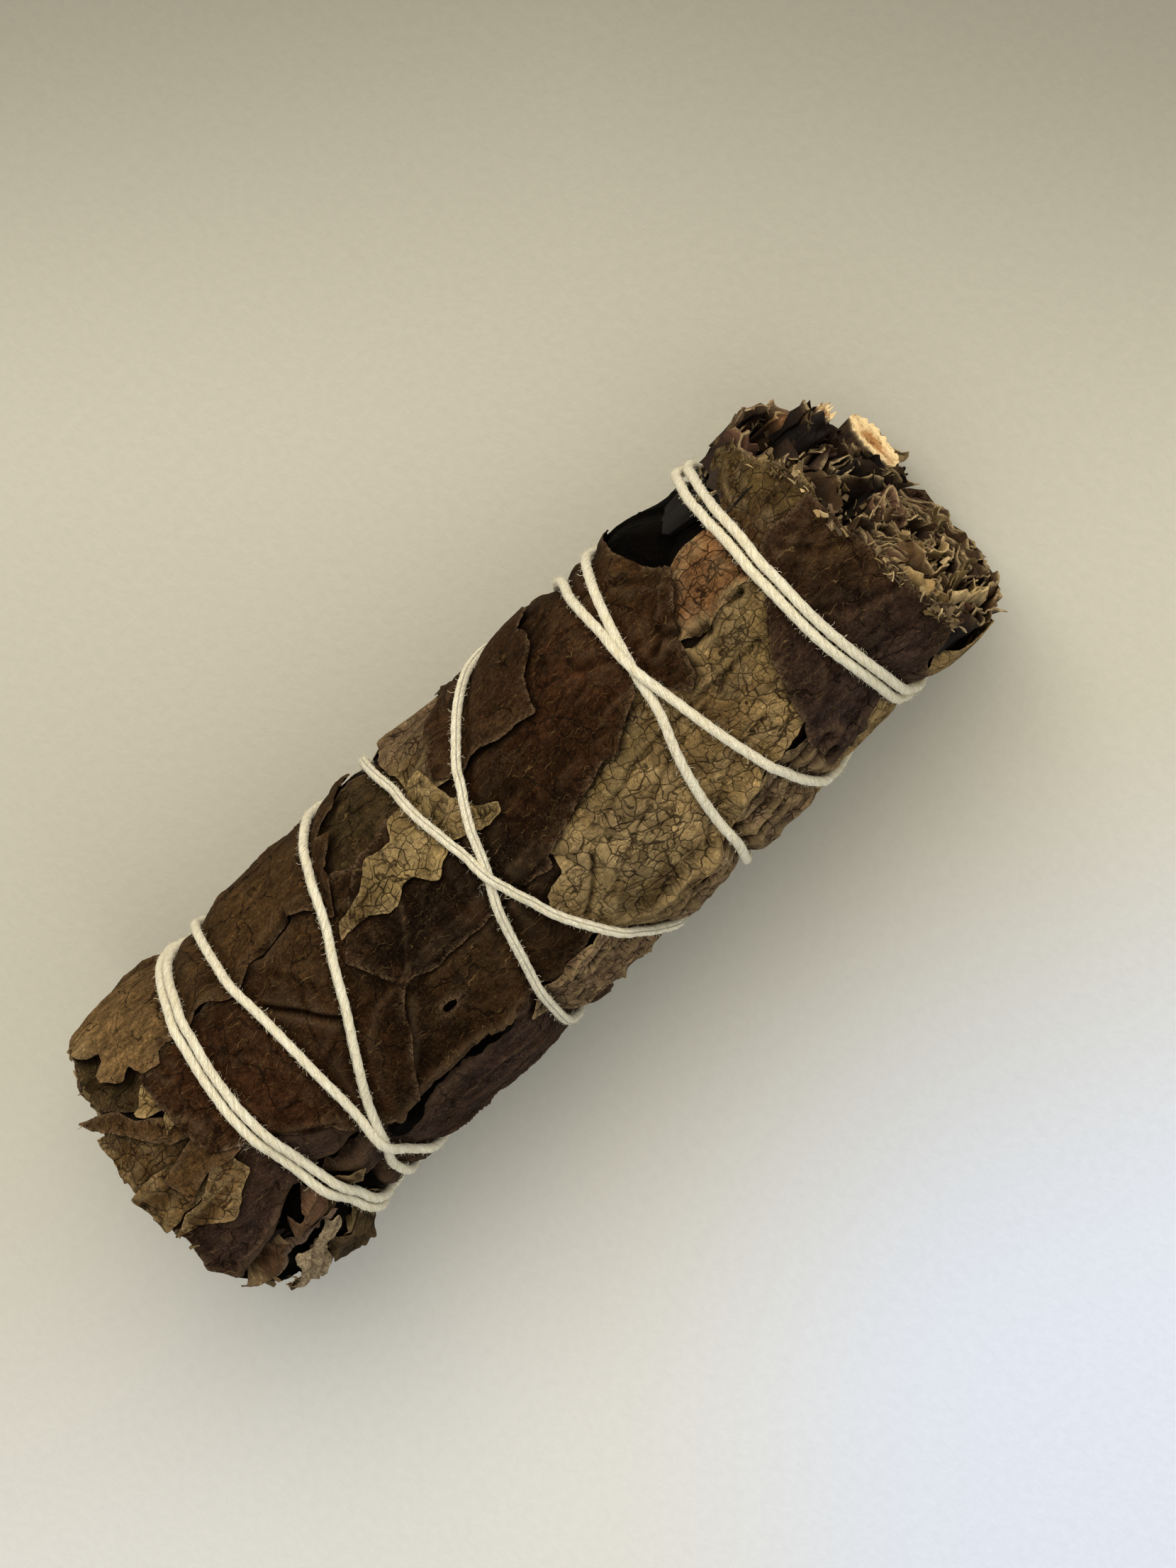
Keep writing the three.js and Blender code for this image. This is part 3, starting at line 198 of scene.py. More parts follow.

# Leaves from the innermost to the outermost, as they were laid. Each has its outline in (s, phi), its colour,
# its slot, and the node that it stands for where that has another name. Its smooth upper face shows, or its
# underside with the net of veins where it says net. Wrinkle, ragged and dusty are shares of
# the usual; the last is the share of dust, marks and painted light and shade on a smooth face, and crumple
# adds sharp folds. Lift raises a leaf's loose edge, and curl its middle, in millimetres. Lifts are
# raised corners, as (place, how wide, how high). Holes are (place, half length, half width).
LEAVES = [
    dict(name="back_leaf_1", dye=CHOCOLATE, slot="leaf_dark", outline=[
        (-52, 112), (-46, 100), (-34, 96), (-22, 104), (-14, 122), (-12, 140), (-18, 160), (-28, 174),
        (-42, 178), (-51, 166), (-50, 150), (-53, 132)]),
    dict(name="back_leaf_2", face="net", dye=TAN, slot="leaf_tan", outline=[
        (-51, 172), (-42, 164), (-30, 166), (-20, 178), (-14, 196), (-16, 218), (-24, 238), (-36, 250),
        (-46, 244), (-52, 226), (-50, 205), (-52.5, 188)]),
    dict(name="back_leaf_3", dye=PURPLE_BROWN, slot="leaf_purple", outline=[
        (-52, 240), (-44, 232), (-34, 236), (-26, 248), (-24, 264), (-28, 282), (-38, 292), (-48, 286),
        (-52.5, 268), (-51, 252)]),
    dict(name="back_leaf_4", dye=BROWN, slot="leaf_brown", outline=[
        (-24, 118), (-16, 100), (-4, 92), (8, 94), (16, 108), (20, 128), (16, 150), (8, 168), (-4, 178),
        (-16, 172), (-24, 156), (-26, 136)]),
    dict(name="back_leaf_5", dye=RED_BROWN, slot="leaf_brown", outline=[
        (-20, 186), (-12, 174), (0, 168), (12, 174), (18, 192), (18, 214), (12, 238), (2, 256), (-10, 262),
        (-20, 250), (-24, 228), (-23, 204)]),
    dict(name="back_leaf_6", dye=BROWN, slot="leaf_brown", outline=[
        (8, 120), (16, 102), (28, 94), (38, 98), (44, 114), (44, 134), (40, 154), (32, 168), (20, 172),
        (10, 160), (6, 140)]),
    dict(name="back_leaf_7", dye=PURPLE_BROWN, slot="leaf_purple", outline=[
        (12, 186), (22, 172), (34, 166), (44, 170), (50, 186), (49.5, 206), (50.5, 226), (46, 244),
        (34, 254), (22, 250), (12, 236), (9, 210)]),
    dict(name="back_leaf_8", face="net", dye=TAN, slot="leaf_tan", outline=[
        (4, 262), (14, 248), (28, 242), (40, 244), (49, 254), (50.5, 270), (49, 288), (40, 298), (28, 300),
        (16, 296), (8, 284)]),
    dict(name="back_leaf_9", dye=BROWN, slot="leaf_brown", outline=[
        (36, 96), (38, 78), (44, 68), (46, 86), (46.5, 104), (47, 124), (48, 146), (44, 158), (38, 150),
        (35, 124)]),
    dict(name="purple_leaf_lower", dye=PURPLE_BROWN, slot="leaf_purple",
         crumple=0.25, outline=[
        (-39, -46), (-30, -43), (-20, -41), (-10, -43), (-3, -46), (0, -60), (-2, -80), (-6, -98),
        (-16, -112), (-28, -114), (-38, -104), (-42, -86), (-41, -64)]),
    # A near-black sheet under the torn strips: painted shadow in the gaps between them
    dict(name="painted_shadow_left_under", node="ragged_leaf_left_2", dye=PAINTED_SHADOW_BLACK, dusty=0,
         slot="leaf_dark", outline=[
        (-51.4, -45), (-44, -42), (-37, -41), (-35, -50), (-35, -66), (-37, -80), (-44, -86), (-51, -84),
        (-51, -70), (-51.4, -58)]),
    dict(name="ragged_leaf_left_1", face="net", dye=BROWN, slot="leaf_brown", crumple=0.25, outline=[
        (-44.3, -54), (-42.9, -52), (-41, -50.4), (-38.6, -48.6), (-33, -50), (-35, -56), (-40, -56.4),
        (-43.6, -55.6)]),
    dict(name="ragged_leaf_left_2", face="net", dye=OLIVE, slot="leaf_olive", crumple=0.3, outline=[
        (-41, -68.4), (-38, -67), (-36, -70), (-37, -78), (-42, -86), (-48, -92), (-51.4, -90), (-49, -84),
        (-45, -78)]),
    dict(name="torn_strip_left_1", node="ragged_leaf_left_1", dye=FADED_ROSE,
         slot="leaf_brown", curl=0.3, crumple=0.15, outline=[
        (-38.4, -43.6), (-38.2, -47), (-39, -52.6), (-40.6, -53.6), (-42.1, -50.6), (-43.6, -51.2),
        (-42.8, -47.6), (-40.8, -46)]),
    dict(name="torn_strip_left_2", node="ragged_leaf_left_2", dye=GREY_ROSE,
         slot="leaf_rosy", curl=0.5, crumple=0.1, ragged=0.3, outline=[
        (-39.2, -53.4), (-39.2, -56.8), (-43.7, -56.2), (-46.7, -56.6), (-48.8, -58.6), (-49.8, -58),
        (-48.2, -53.4), (-46.2, -51.8), (-44.4, -52.8), (-42, -52.4)]),
    dict(name="torn_strip_left_3", node="ragged_leaf_left_2", dye=GREY_TAN, dusty=0.3,
         slot="leaf_tan", curl=0.55, crumple=0.3, outline=[
        (-40.9, -58), (-40.2, -61), (-40.9, -64.5), (-43.6, -69), (-46.5, -78), (-49.4, -85), (-51.2, -87),
        (-52.7, -85), (-52.3, -79), (-50, -73), (-48.3, -71), (-47.3, -64.6), (-46.5, -59), (-45.6, -58.4),
        (-44.4, -61), (-42.8, -59)]),
    dict(name="torn_strip_left_4", node="ragged_leaf_left_2", dye=DULL_OLIVE,
         slot="leaf_tan", curl=0.3, crumple=0.2, outline=[
        (-41.2, -70.6), (-38.4, -72), (-38.2, -82), (-42, -90), (-46.6, -94), (-48.4, -90), (-46.6, -80),
        (-44.4, -74)]),
    dict(name="torn_strip_left_5", node="ragged_leaf_left_1", dye=PALE_TAN,
         slot="leaf_tan", curl=0.3, outline=[
        (-46.2, -49), (-44.8, -52), (-46.5, -52.4), (-47.4, -50)]),
    dict(name="torn_strip_left_6", node="ragged_leaf_left_1", dye=RED_BROWN,
         slot="leaf_brown", curl=0.3, crumple=0.15, outline=[
        (-45.2, -52.6), (-47, -54.4), (-48.8, -55.8), (-51, -55), (-52.8, -50.2), (-51.4, -49.2),
        (-49.4, -50.4), (-47.4, -50.6)]),
    dict(name="torn_strip_left_7", node="ragged_leaf_left_1", dye=FADED_ROSE,
         slot="leaf_rosy", curl=0.4, outline=[
        (-41.2, -46.6), (-38.2, -46.4), (-37.7, -43.4), (-38.9, -44.2), (-39.4, -43.2)]),
    dict(name="dark_leaf_left", dye=PURPLE_BROWN, slot="leaf_purple", outline=[
        (-50.6, -12), (-51.2, -24), (-52.5, -35), (-51.8, -42), (-50.3, -48.6), (-47.3, -46), (-45.2, -43.8),
        (-41.5, -40.4), (-39.2, -38.6), (-36, -40.6), (-29, -41),
        (-27, -31), (-33, -22), (-38, -10), (-46, -7)]),
    dict(name="tan_leaf_left_1", face="net", dye=DULL_TAN, slot="leaf_tan", wrinkle=0.5, outline=[
        (-50.9, 27), (-47, 19), (-43, 12), (-39, 6), (-39, -3), (-46, -4), (-51, -1), (-50.4, 12)]),
    dict(name="tan_leaf_left_2", face="net", dye=DULL_TAN, slot="leaf_tan", wrinkle=0.5, outline=[
        (-51.3, 1), (-46, 2), (-41, -3), (-40, -12), (-46, -14.5), (-51.4, -15.5)]),
    dict(name="tan_leaf_left_3", face="net", dye=DULL_TAN, slot="leaf_tan", wrinkle=0.5, outline=[
        (-51, -17.5), (-46, -15), (-42.3, -8.5), (-39.5, -9), (-39.5, -19), (-42.5, -25), (-45, -28.5),
        (-47.6, -23)]),
    dict(name="brown_leaf_left", dye=WARM_BROWN, slot="leaf_brown", outline=[
        (-47, -1), (-41, 1.5), (-35, -2), (-35, -13), (-40.5, -12), (-43, -9), (-46.5, -11.5)]),
    dict(name="olive_leaf_left", dye=DULL_OLIVE, slot="leaf_olive", outline=[
        (-50.8, 63), (-50.3, 46), (-49.3, 33), (-45.5, 23.5), (-39, 23), (-36, 34), (-40, 56), (-46, 68)]),
    dict(name="strip_leaf_left", dye=WARM_BROWN, slot="leaf_brown", lift=0.25, outline=[
        (-52, 35.5), (-49.8, 32.5), (-47, 27.5), (-44.9, 20), (-42.6, 14), (-40.4, 5), (-39.6, -1),
        (-42.5, 4), (-44.7, 9), (-47.3, 17.5), (-49.6, 25), (-50.9, 29.5)]),
    dict(name="flake_leaf_left", face="net", dye=TAN, slot="leaf_tan", outline=[
        (-44.7, 22), (-42.4, 27.5), (-40.5, 26), (-39.8, 17), (-40.6, 9), (-43.1, 8.5), (-42, 14.5),
        (-43.6, 17.5)]),
    dict(name="olive_leaf_middle", dye=DULL_OLIVE, slot="leaf_olive", outline=[
        (-15, 52), (-15, 30), (-10, 24), (-4, 26), (1, 32), (4, 44), (3, 60), (-1, 72), (-8, 70)]),
    # A near-black sheet under the lower edge of brown_leaf_middle: painted shadow in the gap there
    dict(name="painted_shadow_middle", node="brown_leaf_middle", dye=PAINTED_SHADOW_BLACK, dusty=0,
         slot="leaf_dark", outline=[
        (-27.5, -44.5), (-20, -41), (-14, -41), (-9, -43.2), (-10.6, -46), (-14.5, -48), (-19.5, -48.4),
        (-24.4, -48.8), (-27.8, -48.6)]),
    dict(name="brown_leaf_middle", dye=CHOCOLATE, slot="leaf_brown",
         holes=[((-11.8, -25), 1.0, 0.42)], outline=[
        (-26, -41.6), (-24, -30), (-20, -12), (-10, -5), (2, -5), (10, -6), (12, -16), (9, -34), (5, -46),
        (-3, -46.4), (-10, -43), (-18, -41.6)]),
    dict(name="dark_leaf_middle", dye=CHOCOLATE, slot="leaf_dark",
         lifts=[((-34, -42), 8, 0.5), ((-22, -36), 4, 0.5)], outline=[
        (-42, 29), (-37, 34), (-28, 37), (-18, 39), (-9, 35), (-7, 22), (-9, 6), (-13.6, -10), (-16, -18),
        (-18.6, -27), (-22.4, -41.5), (-25, -43), (-28, -38), (-30, -27), (-35, -20), (-38, -13), (-41, -4),
        (-41.5, 12)]),
    dict(name="crumpled_leaf_lower_1", face="net", dye=DUST, slot="leaf_tan", crumple=0.5, outline=[
        (-8.5, -51), (-4, -46), (3, -45.5), (8, -52), (16, -57), (21, -60), (19, -74), (11, -84), (1, -83),
        (-7, -73)]),
    dict(name="crumpled_leaf_lower_2", face="net", dye=DUST, slot="leaf_tan", crumple=0.5, outline=[
        (13, -63), (18, -55), (25, -48), (32, -44), (35, -50), (34, -62), (30.5, -74), (24, -81),
        (16.5, -79)]),
    dict(name="tan_leaf_large", face="net", dye=TAN, slot="leaf_tan", wrinkle=0.18, outline=[
        (3.2, -37), (2.8, -26), (4, -20), (6.6, -17), (6.9, -9), (13, 4), (21, 12), (30, 13), (31.8, 8.5),
        (35, 11.6), (42, 12), (43, -5), (41, -25), (35.5, -38), (28, -44), (22, -50.5), (17, -58), (10, -61),
        (5, -54.5), (4, -45)]),
    # hollow_leaf_right is near black: painted shadow in the deep hollow between the leaves
    dict(name="hollow_leaf_right", dye=PAINTED_SHADOW_BLACK, dusty=0, slot="leaf_dark", outline=[
        (26, 62), (29, 44), (33, 33), (38, 36), (43, 44), (44, 64), (42, 92), (36, 108), (28, 104),
        (25, 84)]),
    dict(name="rosy_leaf_right", face="net", dye=ROSY, slot="leaf_rosy", wrinkle=0.4, outline=[
        (30.5, 15), (31.8, 24), (33.8, 33), (36.5, 40.5), (39.5, 42.5), (42.2, 40.5), (42.6, 28),
        (42.2, 15), (40.5, 13.5), (37, 12.5), (35, 10.5), (33, 12)]),
    dict(name="tan_leaf_right", face="net", dye=BROWN, slot="leaf_olive", wrinkle=0.4, outline=[
        (40, 28), (42, 48), (42.6, 74), (44.5, 100), (46.4, 82), (45.7, 63), (46.6, 50), (48.5, 42),
        (50.3, 30), (50, 17), (45, 12), (41, 16)]),
    dict(name="red_leaf_middle", dye=CHOCOLATE, slot="leaf_brown", outline=[
        (-16.5, 12), (-13.6, -9), (-6, -11.5), (2, -11), (6.8, -12.5), (7.2, -8.5), (11, -5.5), (15, -2),
        (17.5, 1), (20, 0.5), (22, 4.5), (25, 14), (27, 8), (28.4, -1), (30.7, 0.5), (30.9, 6), (31.6, 16),
        (33, 22), (34.3, 28), (34.8, 36.5), (33.5, 41.5), (32, 50), (30, 60), (29.2, 70), (28.4, 86),
        (26, 104), (19, 110), (11, 100), (7, 72), (2, 46), (-5, 38), (-12, 28)]),
    dict(name="purple_leaf_right", dye=PURPLE_BROWN, slot="leaf_purple", outline=[
        (40.5, 5), (43, 19), (45.8, 20), (50.2, 21), (50.4, 10), (51.1, -5), (51.3, -22), (51, -41),
        (50, -55), (50.6, -63), (46, -61.5), (43, -67.5), (39, -71), (38.3, -66), (36.6, -66.5),
        (35.4, -72.5), (33.6, -67.5), (31.4, -68), (31, -61), (32.2, -50), (33, -44), (34.2, -37),
        (35, -26), (36.6, -16), (38.3, -7)]),
    dict(name="golden_leaf", dye=BROWN, slot="leaf_golden",
         lifts=[((-47, 44), 4, 0.8), ((-42.5, 32), 4, 0.8), ((-12.5, 44), 5, 0.6)], outline=[
        (-51.7, 79), (-51, 70), (-50.2, 62.5), (-48.9, 56), (-47.2, 52.6), (-45.8, 50.4), (-46, 46.5),
        (-47.3, 44.4), (-47, 40), (-45.6, 35.6), (-44.1, 32.6), (-43.1, 35.4), (-42.3, 31.4), (-40.9, 27),
        (-39.6, 27), (-39, 31), (-37, 32.5), (-33, 33), (-29, 31),
        (-24, 36), (-20, 38), (-16, 31), (-14.2, 25), (-13, 32), (-12.1, 42), (-10.8, 49.5), (-12.2, 54),
        (-9.2, 61), (-8.8, 76), (-10, 92), (-14, 108), (-25, 120), (-40, 117), (-50, 105), (-52.3, 92)]),
    dict(name="crumpled_leaf_top", face="net", dye=DUST, slot="leaf_rosy", wrinkle=0.4, outline=[
        (-5.6, 92), (-4.4, 76), (-3.4, 66), (-2.2, 55), (-1, 43), (0.8, 37), (2.6, 34), (4.5, 34.5),
        (7, 42), (7.5, 58), (6, 76), (3, 94)]),
    dict(name="tan_leaf_strip", face="net", dye=STRIP_TAN, slot="leaf_tan", wrinkle=0.5, lift=0.15, outline=[
        (-15.4, 16.5), (-14.2, 22), (-10.2, 25.5), (-8, 31.5), (-4.6, 31.5), (-4, 36), (-2.2, 41), (-1, 43),
        (1.1, 43.5), (2.1, 37), (2.8, 29), (4.6, 20), (6.8, 15), (6.1, 10.5), (4.8, 10.8), (3.4, 14.5),
        (0.8, 15), (-1.2, 12), (-2.8, 9.8), (-4, 12), (-5, 15), (-6.6, 15.3), (-8.4, 11), (-9.8, 12),
        (-11.4, 16.5), (-13, 18)]),
    dict(name="brown_leaf_top", dye=DEEP_BROWN, slot="leaf_brown",
         lifts=[((8, 33), 5, 0.6)], outline=[
        (2.6, 36), (5, 32.5), (8, 33.8), (12, 31), (15.6, 30), (15.6, 38), (15.9, 45.5), (17.4, 52.5),
        (17.5, 61), (16.8, 69), (17.6, 78), (14, 101), (6, 106), (2.4, 92), (4.8, 77), (3.6, 62),
        (3, 48)]),
]

# Stains on a leaf: (s, phi), how wide in millimetres, colour
STAINS = {
    "golden_leaf": [((-48, 64), 9, GOLDEN), ((-45, 42), 6, GOLDEN), ((-50, 52), 3, PALE_TAN),
                    ((-24, 60), 6, WARM_BROWN)],
    "dark_leaf_middle": [((-33, -4), 7, RED_BROWN), ((-20, 26), 6, BROWN), ((-36, 22), 4, RED_BROWN)],
    "purple_leaf_lower": [((-30, -52), 6, GREY_PURPLE), ((-14, -54), 7, GREY_PURPLE)],
    "red_leaf_middle": [((-8, 2), 7, NEAR_BLACK), ((2, -6), 6, NEAR_BLACK), ((21, 34), 9, RED_BROWN),
                        ((28, 50), 6, BROWN)],
    "purple_leaf_right": [((48, 2), 5, BROWN), ((44, -10), 5, CHOCOLATE), ((37, -22), 4, CHOCOLATE),
                          ((40, -50), 9, GREY_PURPLE), ((35, -58), 5, GREY_PURPLE)],
    "brown_leaf_middle": [((-6, -30), 6, BROWN), ((2, -12), 5, NEAR_BLACK)],
    "tan_leaf_large": [((24, 4), 6, OLIVE), ((12, -30), 8, PALE_TAN), ((36, 0), 5, OLIVE),
                       ((15, -1), 4, OLIVE), ((28, -14), 4, DULL_TAN), ((10, -44), 4, OLIVE)],
    "tan_leaf_strip": [((-12, 20), 4, OLIVE), ((-15, 17), 2, WARM_BROWN), ((6, 13), 2, OLIVE)],
    "tan_leaf_right": [((49, 22), 3, OLIVE), ((46.5, 44), 3, OLIVE), ((46, 64), 3, OLIVE)],
    "torn_strip_left_6": [((-51.4, -52.6), 1.3, PALE_TAN)],
    "torn_strip_left_2": [((-49.2, -59), 1.0, PALE_TAN)],
    "crumpled_leaf_top": [((-1, 50), 3, OLIVE)],
    "dark_leaf_left": [((-46, -38), 4, GREY_PURPLE), ((-36, -30), 5, GREY_PURPLE)],
}

# Folds pressed through every layer: points along it, how deep (below 0 it stands up), how wide
FOLDS = [
    ([(-50, -49.6), (-47, -48.2), (-44.4, -47), (-42, -43.6), (-39.6, -41)], 3.0, 0.8),
    ([(-41, -56.8), (-44, -57.4), (-46.6, -57.2)], 1.2, 0.35),
    ([(-40.6, -54.2), (-43.5, -53.4), (-46.5, -53)], 1.1, 0.35),
    ([(-51.5, -61.5), (-49.6, -66)], 1.2, 0.8),
    ([(-40.6, -68.2), (-43.6, -71), (-46.4, -76)], 0.9, 0.35),
    ([(-42.2, -61), (-45.4, -64.4), (-48.4, -74), (-51.2, -82)], 0.7, 0.2),
    ([(-46.6, -62), (-47, -68)], 0.5, 0.2),
    ([(-41.4, -63), (-44, -67), (-46.8, -75), (-49.8, -83)], 0.5, 0.2),
    ([(-35.5, -42), (-33, -42), (-30.5, -40.5)], 2.6, 0.9),
    ([(-24, -45), (-18, -45.6), (-12, -45)], 1.6, 0.7),
    ([(4, -57), (12, -63), (19, -66)], 0.7, 0.4),
    ([(2, -62), (10, -68), (17, -71)], 0.6, 0.4),
    ([(18, -58), (26, -54), (34, -50)], 0.7, 0.4),
    ([(17, -66), (25, -61), (33, -57)], 0.6, 0.4),
    ([(-24, 37), (-20, 39.5)], 1.4, 0.7),
    ([(-27, 20), (-24, 10), (-21, -3)], 1.0, 0.3),
    ([(-23, 8), (-22, 15)], 0.3, 0.35),
    ([(-36.5, -17), (-33.5, -21), (-30, -27)], 0.6, 0.45),
    ([(-20, -33), (-14, -15)], -0.5, 0.8),
    ([(-12, -11), (-3, -10.5), (7, -11)], 0.5, 0.5),
    ([(14, -13), (20, -7), (26, -6), (37, -5)], 0.35, 0.3),
    ([(10, -20), (7, -30), (4, -37)], 0.5, 0.3),
    ([(8, -36), (14, -26), (23, -14), (33, -6)], 0.3, 0.28),
    ([(17, -52), (25, -34), (32, -26)], 0.28, 0.28),
    ([(20, 34), (26, 24), (31, 22)], 0.4, 0.6),
    ([(24, 60), (31, 46)], 0.4, 0.6),
    ([(28.5, 17), (30, 19), (31.5, 17)], 0.7, 0.45),
    ([(32.2, 11), (33.8, 10.4)], 2.0, 0.6),
    ([(37.4, 12.4), (38.8, 12)], 1.3, 0.35),
    ([(31.5, -70), (34.2, -70)], 2.2, 1.0),
    ([(37, -67), (38.2, -67)], 1.8, 0.8),
    ([(46, -66), (49.5, -63.5)], 2.0, 1.0),
    ([(41, -40), (46, -38), (50, -41)], 0.35, 0.6),
    ([(45, 13), (47.5, 3), (50.5, -2)], 0.4, 0.5),
    ([(46, 17), (48, 11), (51, 8)], 0.35, 0.5),
    ([(43, -12), (46, -20), (50, -24)], 0.3, 0.6),
    ([(32, 50), (36, 62), (35, 90)], 2.4, 3.6),
    ([(-34.6, -63), (-33.4, -62)], 2.2, 1.0),
    ([(-44, 40), (-48, 48)], 0.5, 2.5),
]

# The string's visible passes and hidden links, as (phi, s), in the order in which it was wound
STRING_ROUTE = [
    (0, [(-120, -39.6), (-90, -39.2), (-75, -38.6), (-60, -38), (-30, -37.3), (0, -37), (45, -36.5),
         (60, -37), (75, -37.7), (90, -38.4), (135, -38.7), (180, -38), (215, -37), (240, -36.2)]),
    (1, [(-90, -34.5), (-75, -33), (-60, -31.5), (-50, -29.5), (-38, -27.3), (-30, -25.8), (-15, -22.5),
         (0, -19.5), (15, -17.3), (30, -15.3), (45, -14.8), (60, -14.8), (75, -15), (90, -15.6),
         (135, -15.2), (180, -13.4), (225, -11.2)]),
    (2, [(-90, -9.8), (-75, -8.7), (-60, -7), (-45, -5.3), (-30, -3.2), (-15, -1.2), (0, 1.2), (15, 3),
         (30, 4.8), (45, 6.5), (60, 7.8), (75, 8.6), (90, 9.4), (120, 9.9), (150, 10.9), (180, 12.2),
         (225, 14)]),
    (3, [(-90, 15.6), (-75, 17), (-60, 19), (-45, 20.2), (-30, 21.6), (-15, 23.2), (0, 25), (15, 25.8),
         (30, 26.3), (45, 26.5), (60, 26.4), (75, 25.8), (90, 25), (135, 26), (180, 29), (205, 32),
         (225, 35.2), (245, 37.4)]),
    (4, [(-90, 39.1), (-75, 39.5), (-45, 40.8), (-15, 41.2), (0, 41.3), (30, 40.7), (45, 39.8),
         (60, 38.8), (75, 38), (90, 37), (135, 36.9), (180, 38.2), (225, 39.8)]),
    (5, [(-90, 40.6), (-75, 40.9), (-45, 42), (-15, 42.4), (0, 42.5), (30, 42), (45, 41.2), (60, 40.3),
         (75, 39.5), (90, 38.4), (110, 37.6), (135, 36.2), (160, 35.6), (180, 35.3), (205, 33.7),
         (225, 31.8), (245, 30)]),
    (6, [(-90, 28.6), (-75, 28.3), (-45, 28), (-15, 27.4), (5, 26.7), (17, 26.2), (30, 25.6), (45, 24.6),
         (60, 23.4), (75, 22.4), (90, 20.8), (110, 18), (130, 14.6), (150, 11.2), (180, 8.2), (225, 6.6)]),
    (7, [(-90, 6.2), (-75, 5.8), (-60, 5), (-45, 4), (-30, 2.8), (-15, 2), (0, 1.2), (15, 0.3), (30, -1),
         (45, -2.2), (60, -4), (75, -5.8), (90, -7.6), (110, -10), (130, -12.7), (150, -15.6),
         (180, -20.2), (225, -26.4)]),
    (8, [(-90, -29.8), (-75, -29.6), (-60, -29.3), (-45, -28.8), (-30, -27.5), (-15, -26.9), (0, -26.8),
         (15, -27.3), (30, -28.3), (45, -29.2), (60, -30.3), (75, -31.8), (90, -33.4), (135, -34.6),
         (180, -36), (215, -37.3), (240, -37.8)]),
    (9, [(-90, -37.9), (-75, -37.4), (-60, -36.8), (-30, -36.1), (0, -35.8), (45, -35.3), (60, -35.8),
         (75, -36.5), (90, -37.2), (120, -37.5), (150, -38.5), (180, -39.2), (215, -39.7), (240, -39.8)]),
]


# Noise, lines and masks

LATTICE = 64
NOISE_STRENGTH = 0.6
NOISE_FINER = 0.47
NOISE_WEAKER = 0.5
NOISE_SEED_STEP = 17


def soft_noise(x, y, size, seed):
    """Smooth noise from -1 to 1, with lumps about `size` millimetres wide."""
    lattice = np.random.default_rng(seed).uniform(-1, 1, (LATTICE, LATTICE))
    u = np.asarray(x, float) / size
    v = np.asarray(y, float) / size
    i = np.floor(u).astype(int)
    j = np.floor(v).astype(int)
    f = u - i
    g = v - j
    f = f * f * (3 - 2 * f)
    g = g * g * (3 - 2 * g)
    i0, i1 = i % LATTICE, (i + 1) % LATTICE
    j0, j1 = j % LATTICE, (j + 1) % LATTICE
    near = lattice[i0, j0] * (1 - f) + lattice[i1, j0] * f
    far = lattice[i0, j1] * (1 - f) + lattice[i1, j1] * f
    return near * (1 - g) + far * g


def rough_noise(x, y, size, seed, layers=3):
    """Noise with finer noise on it, from about -1 to 1."""
    total = 0
    strength = NOISE_STRENGTH
    for layer in range(layers):
        total = total + strength * soft_noise(x, y, size, seed + NOISE_SEED_STEP * layer)
        size = size * NOISE_FINER
        strength = strength * NOISE_WEAKER
    return total


def layered_noise(x, y, waves, seed):
    """Noise of several sizes added up, with each wave given as (height, size)."""
    return sum(high * soft_noise(x, y, size, seed + k) for k, (high, size) in enumerate(waves))


def creased(x, y, size, seed, width=0.1):
    """0 on winding fold lines and 1 away from them, with the folds about `size` millimetres apart."""
    return np.clip(np.abs(rough_noise(x, y, size, seed, 2)) / width, 0, 1)


def smooth_step(low, high, value):
    share = np.clip((value - low) / (high - low), 0, 1)
    return share * share * (3 - 2 * share)


def outer_radius(s, phi):
    """Distance of the bundle's outside from its axis."""
    t = (s + LENGTH / 2) / LENGTH
    radius = RADIUS_LEAF_END + (RADIUS_STALK_END - RADIUS_LEAF_END) * t
    for place in CINCH_PLACES:
        radius = radius - CINCH_DEPTH * np.exp(-(((s - place) / CINCH_WIDTH) ** 2))
    turn = np.radians(phi)
    for depth, along, around, phase in LUMPS:
        radius = radius + depth * np.sin(along * s + around * turn + phase)
    below = np.cos(turn - math.pi)
    flat = FLAT_BELOW_AXIS / np.maximum(below, FLAT_FACING)
    return np.where(below > FLAT_FACING, np.minimum(radius, flat), radius)


def on_axis(s, phi, radius):
    """Points in millimetres from the axis."""
    turn = np.radians(phi)
    return np.stack([s + 0 * turn, radius * np.sin(turn), radius * np.cos(turn)], -1)


def distance_to_line(x, y, points, closed=False):
    """Distance to a line through points, in the flat (s, y) plane in millimetres."""
    ends = points[1:] + points[:1] if closed else points[1:]
    nearest = np.full(np.shape(x), np.inf)
    for (ax, ay), (bx, by) in zip(points, ends):
        dx, dy = bx - ax, by - ay
        share = np.clip(((x - ax) * dx + (y - ay) * dy) / (dx * dx + dy * dy + 1e-12), 0, 1)
        nearest = np.minimum(nearest, np.hypot(x - ax - share * dx, y - ay - share * dy))
    return nearest


def inside_outline(x, y, points):
    inside = np.zeros(np.shape(x), bool)
    for (ax, ay), (bx, by) in zip(points, points[1:] + points[:1]):
        crosses = (ay > y) != (by > y)
        rise = by - ay if by != ay else 1e-9
        inside ^= crosses & (x < (bx - ax) * (y - ay) / rise + ax)
    return inside


def flat_points(outline):
    return [(s, phi * MM_PER_DEGREE) for s, phi in outline]


def blurred(heights, passes):
    """Each height averaged with its neighbours, several times."""
    for _ in range(passes):
        padded = np.pad(heights, 1, mode="edge")
        rows = padded[:-2] + 2 * padded[1:-1] + padded[2:]
        heights = (rows[:, :-2] + 2 * rows[:, 1:-1] + rows[:, 2:]) / 16
    return heights


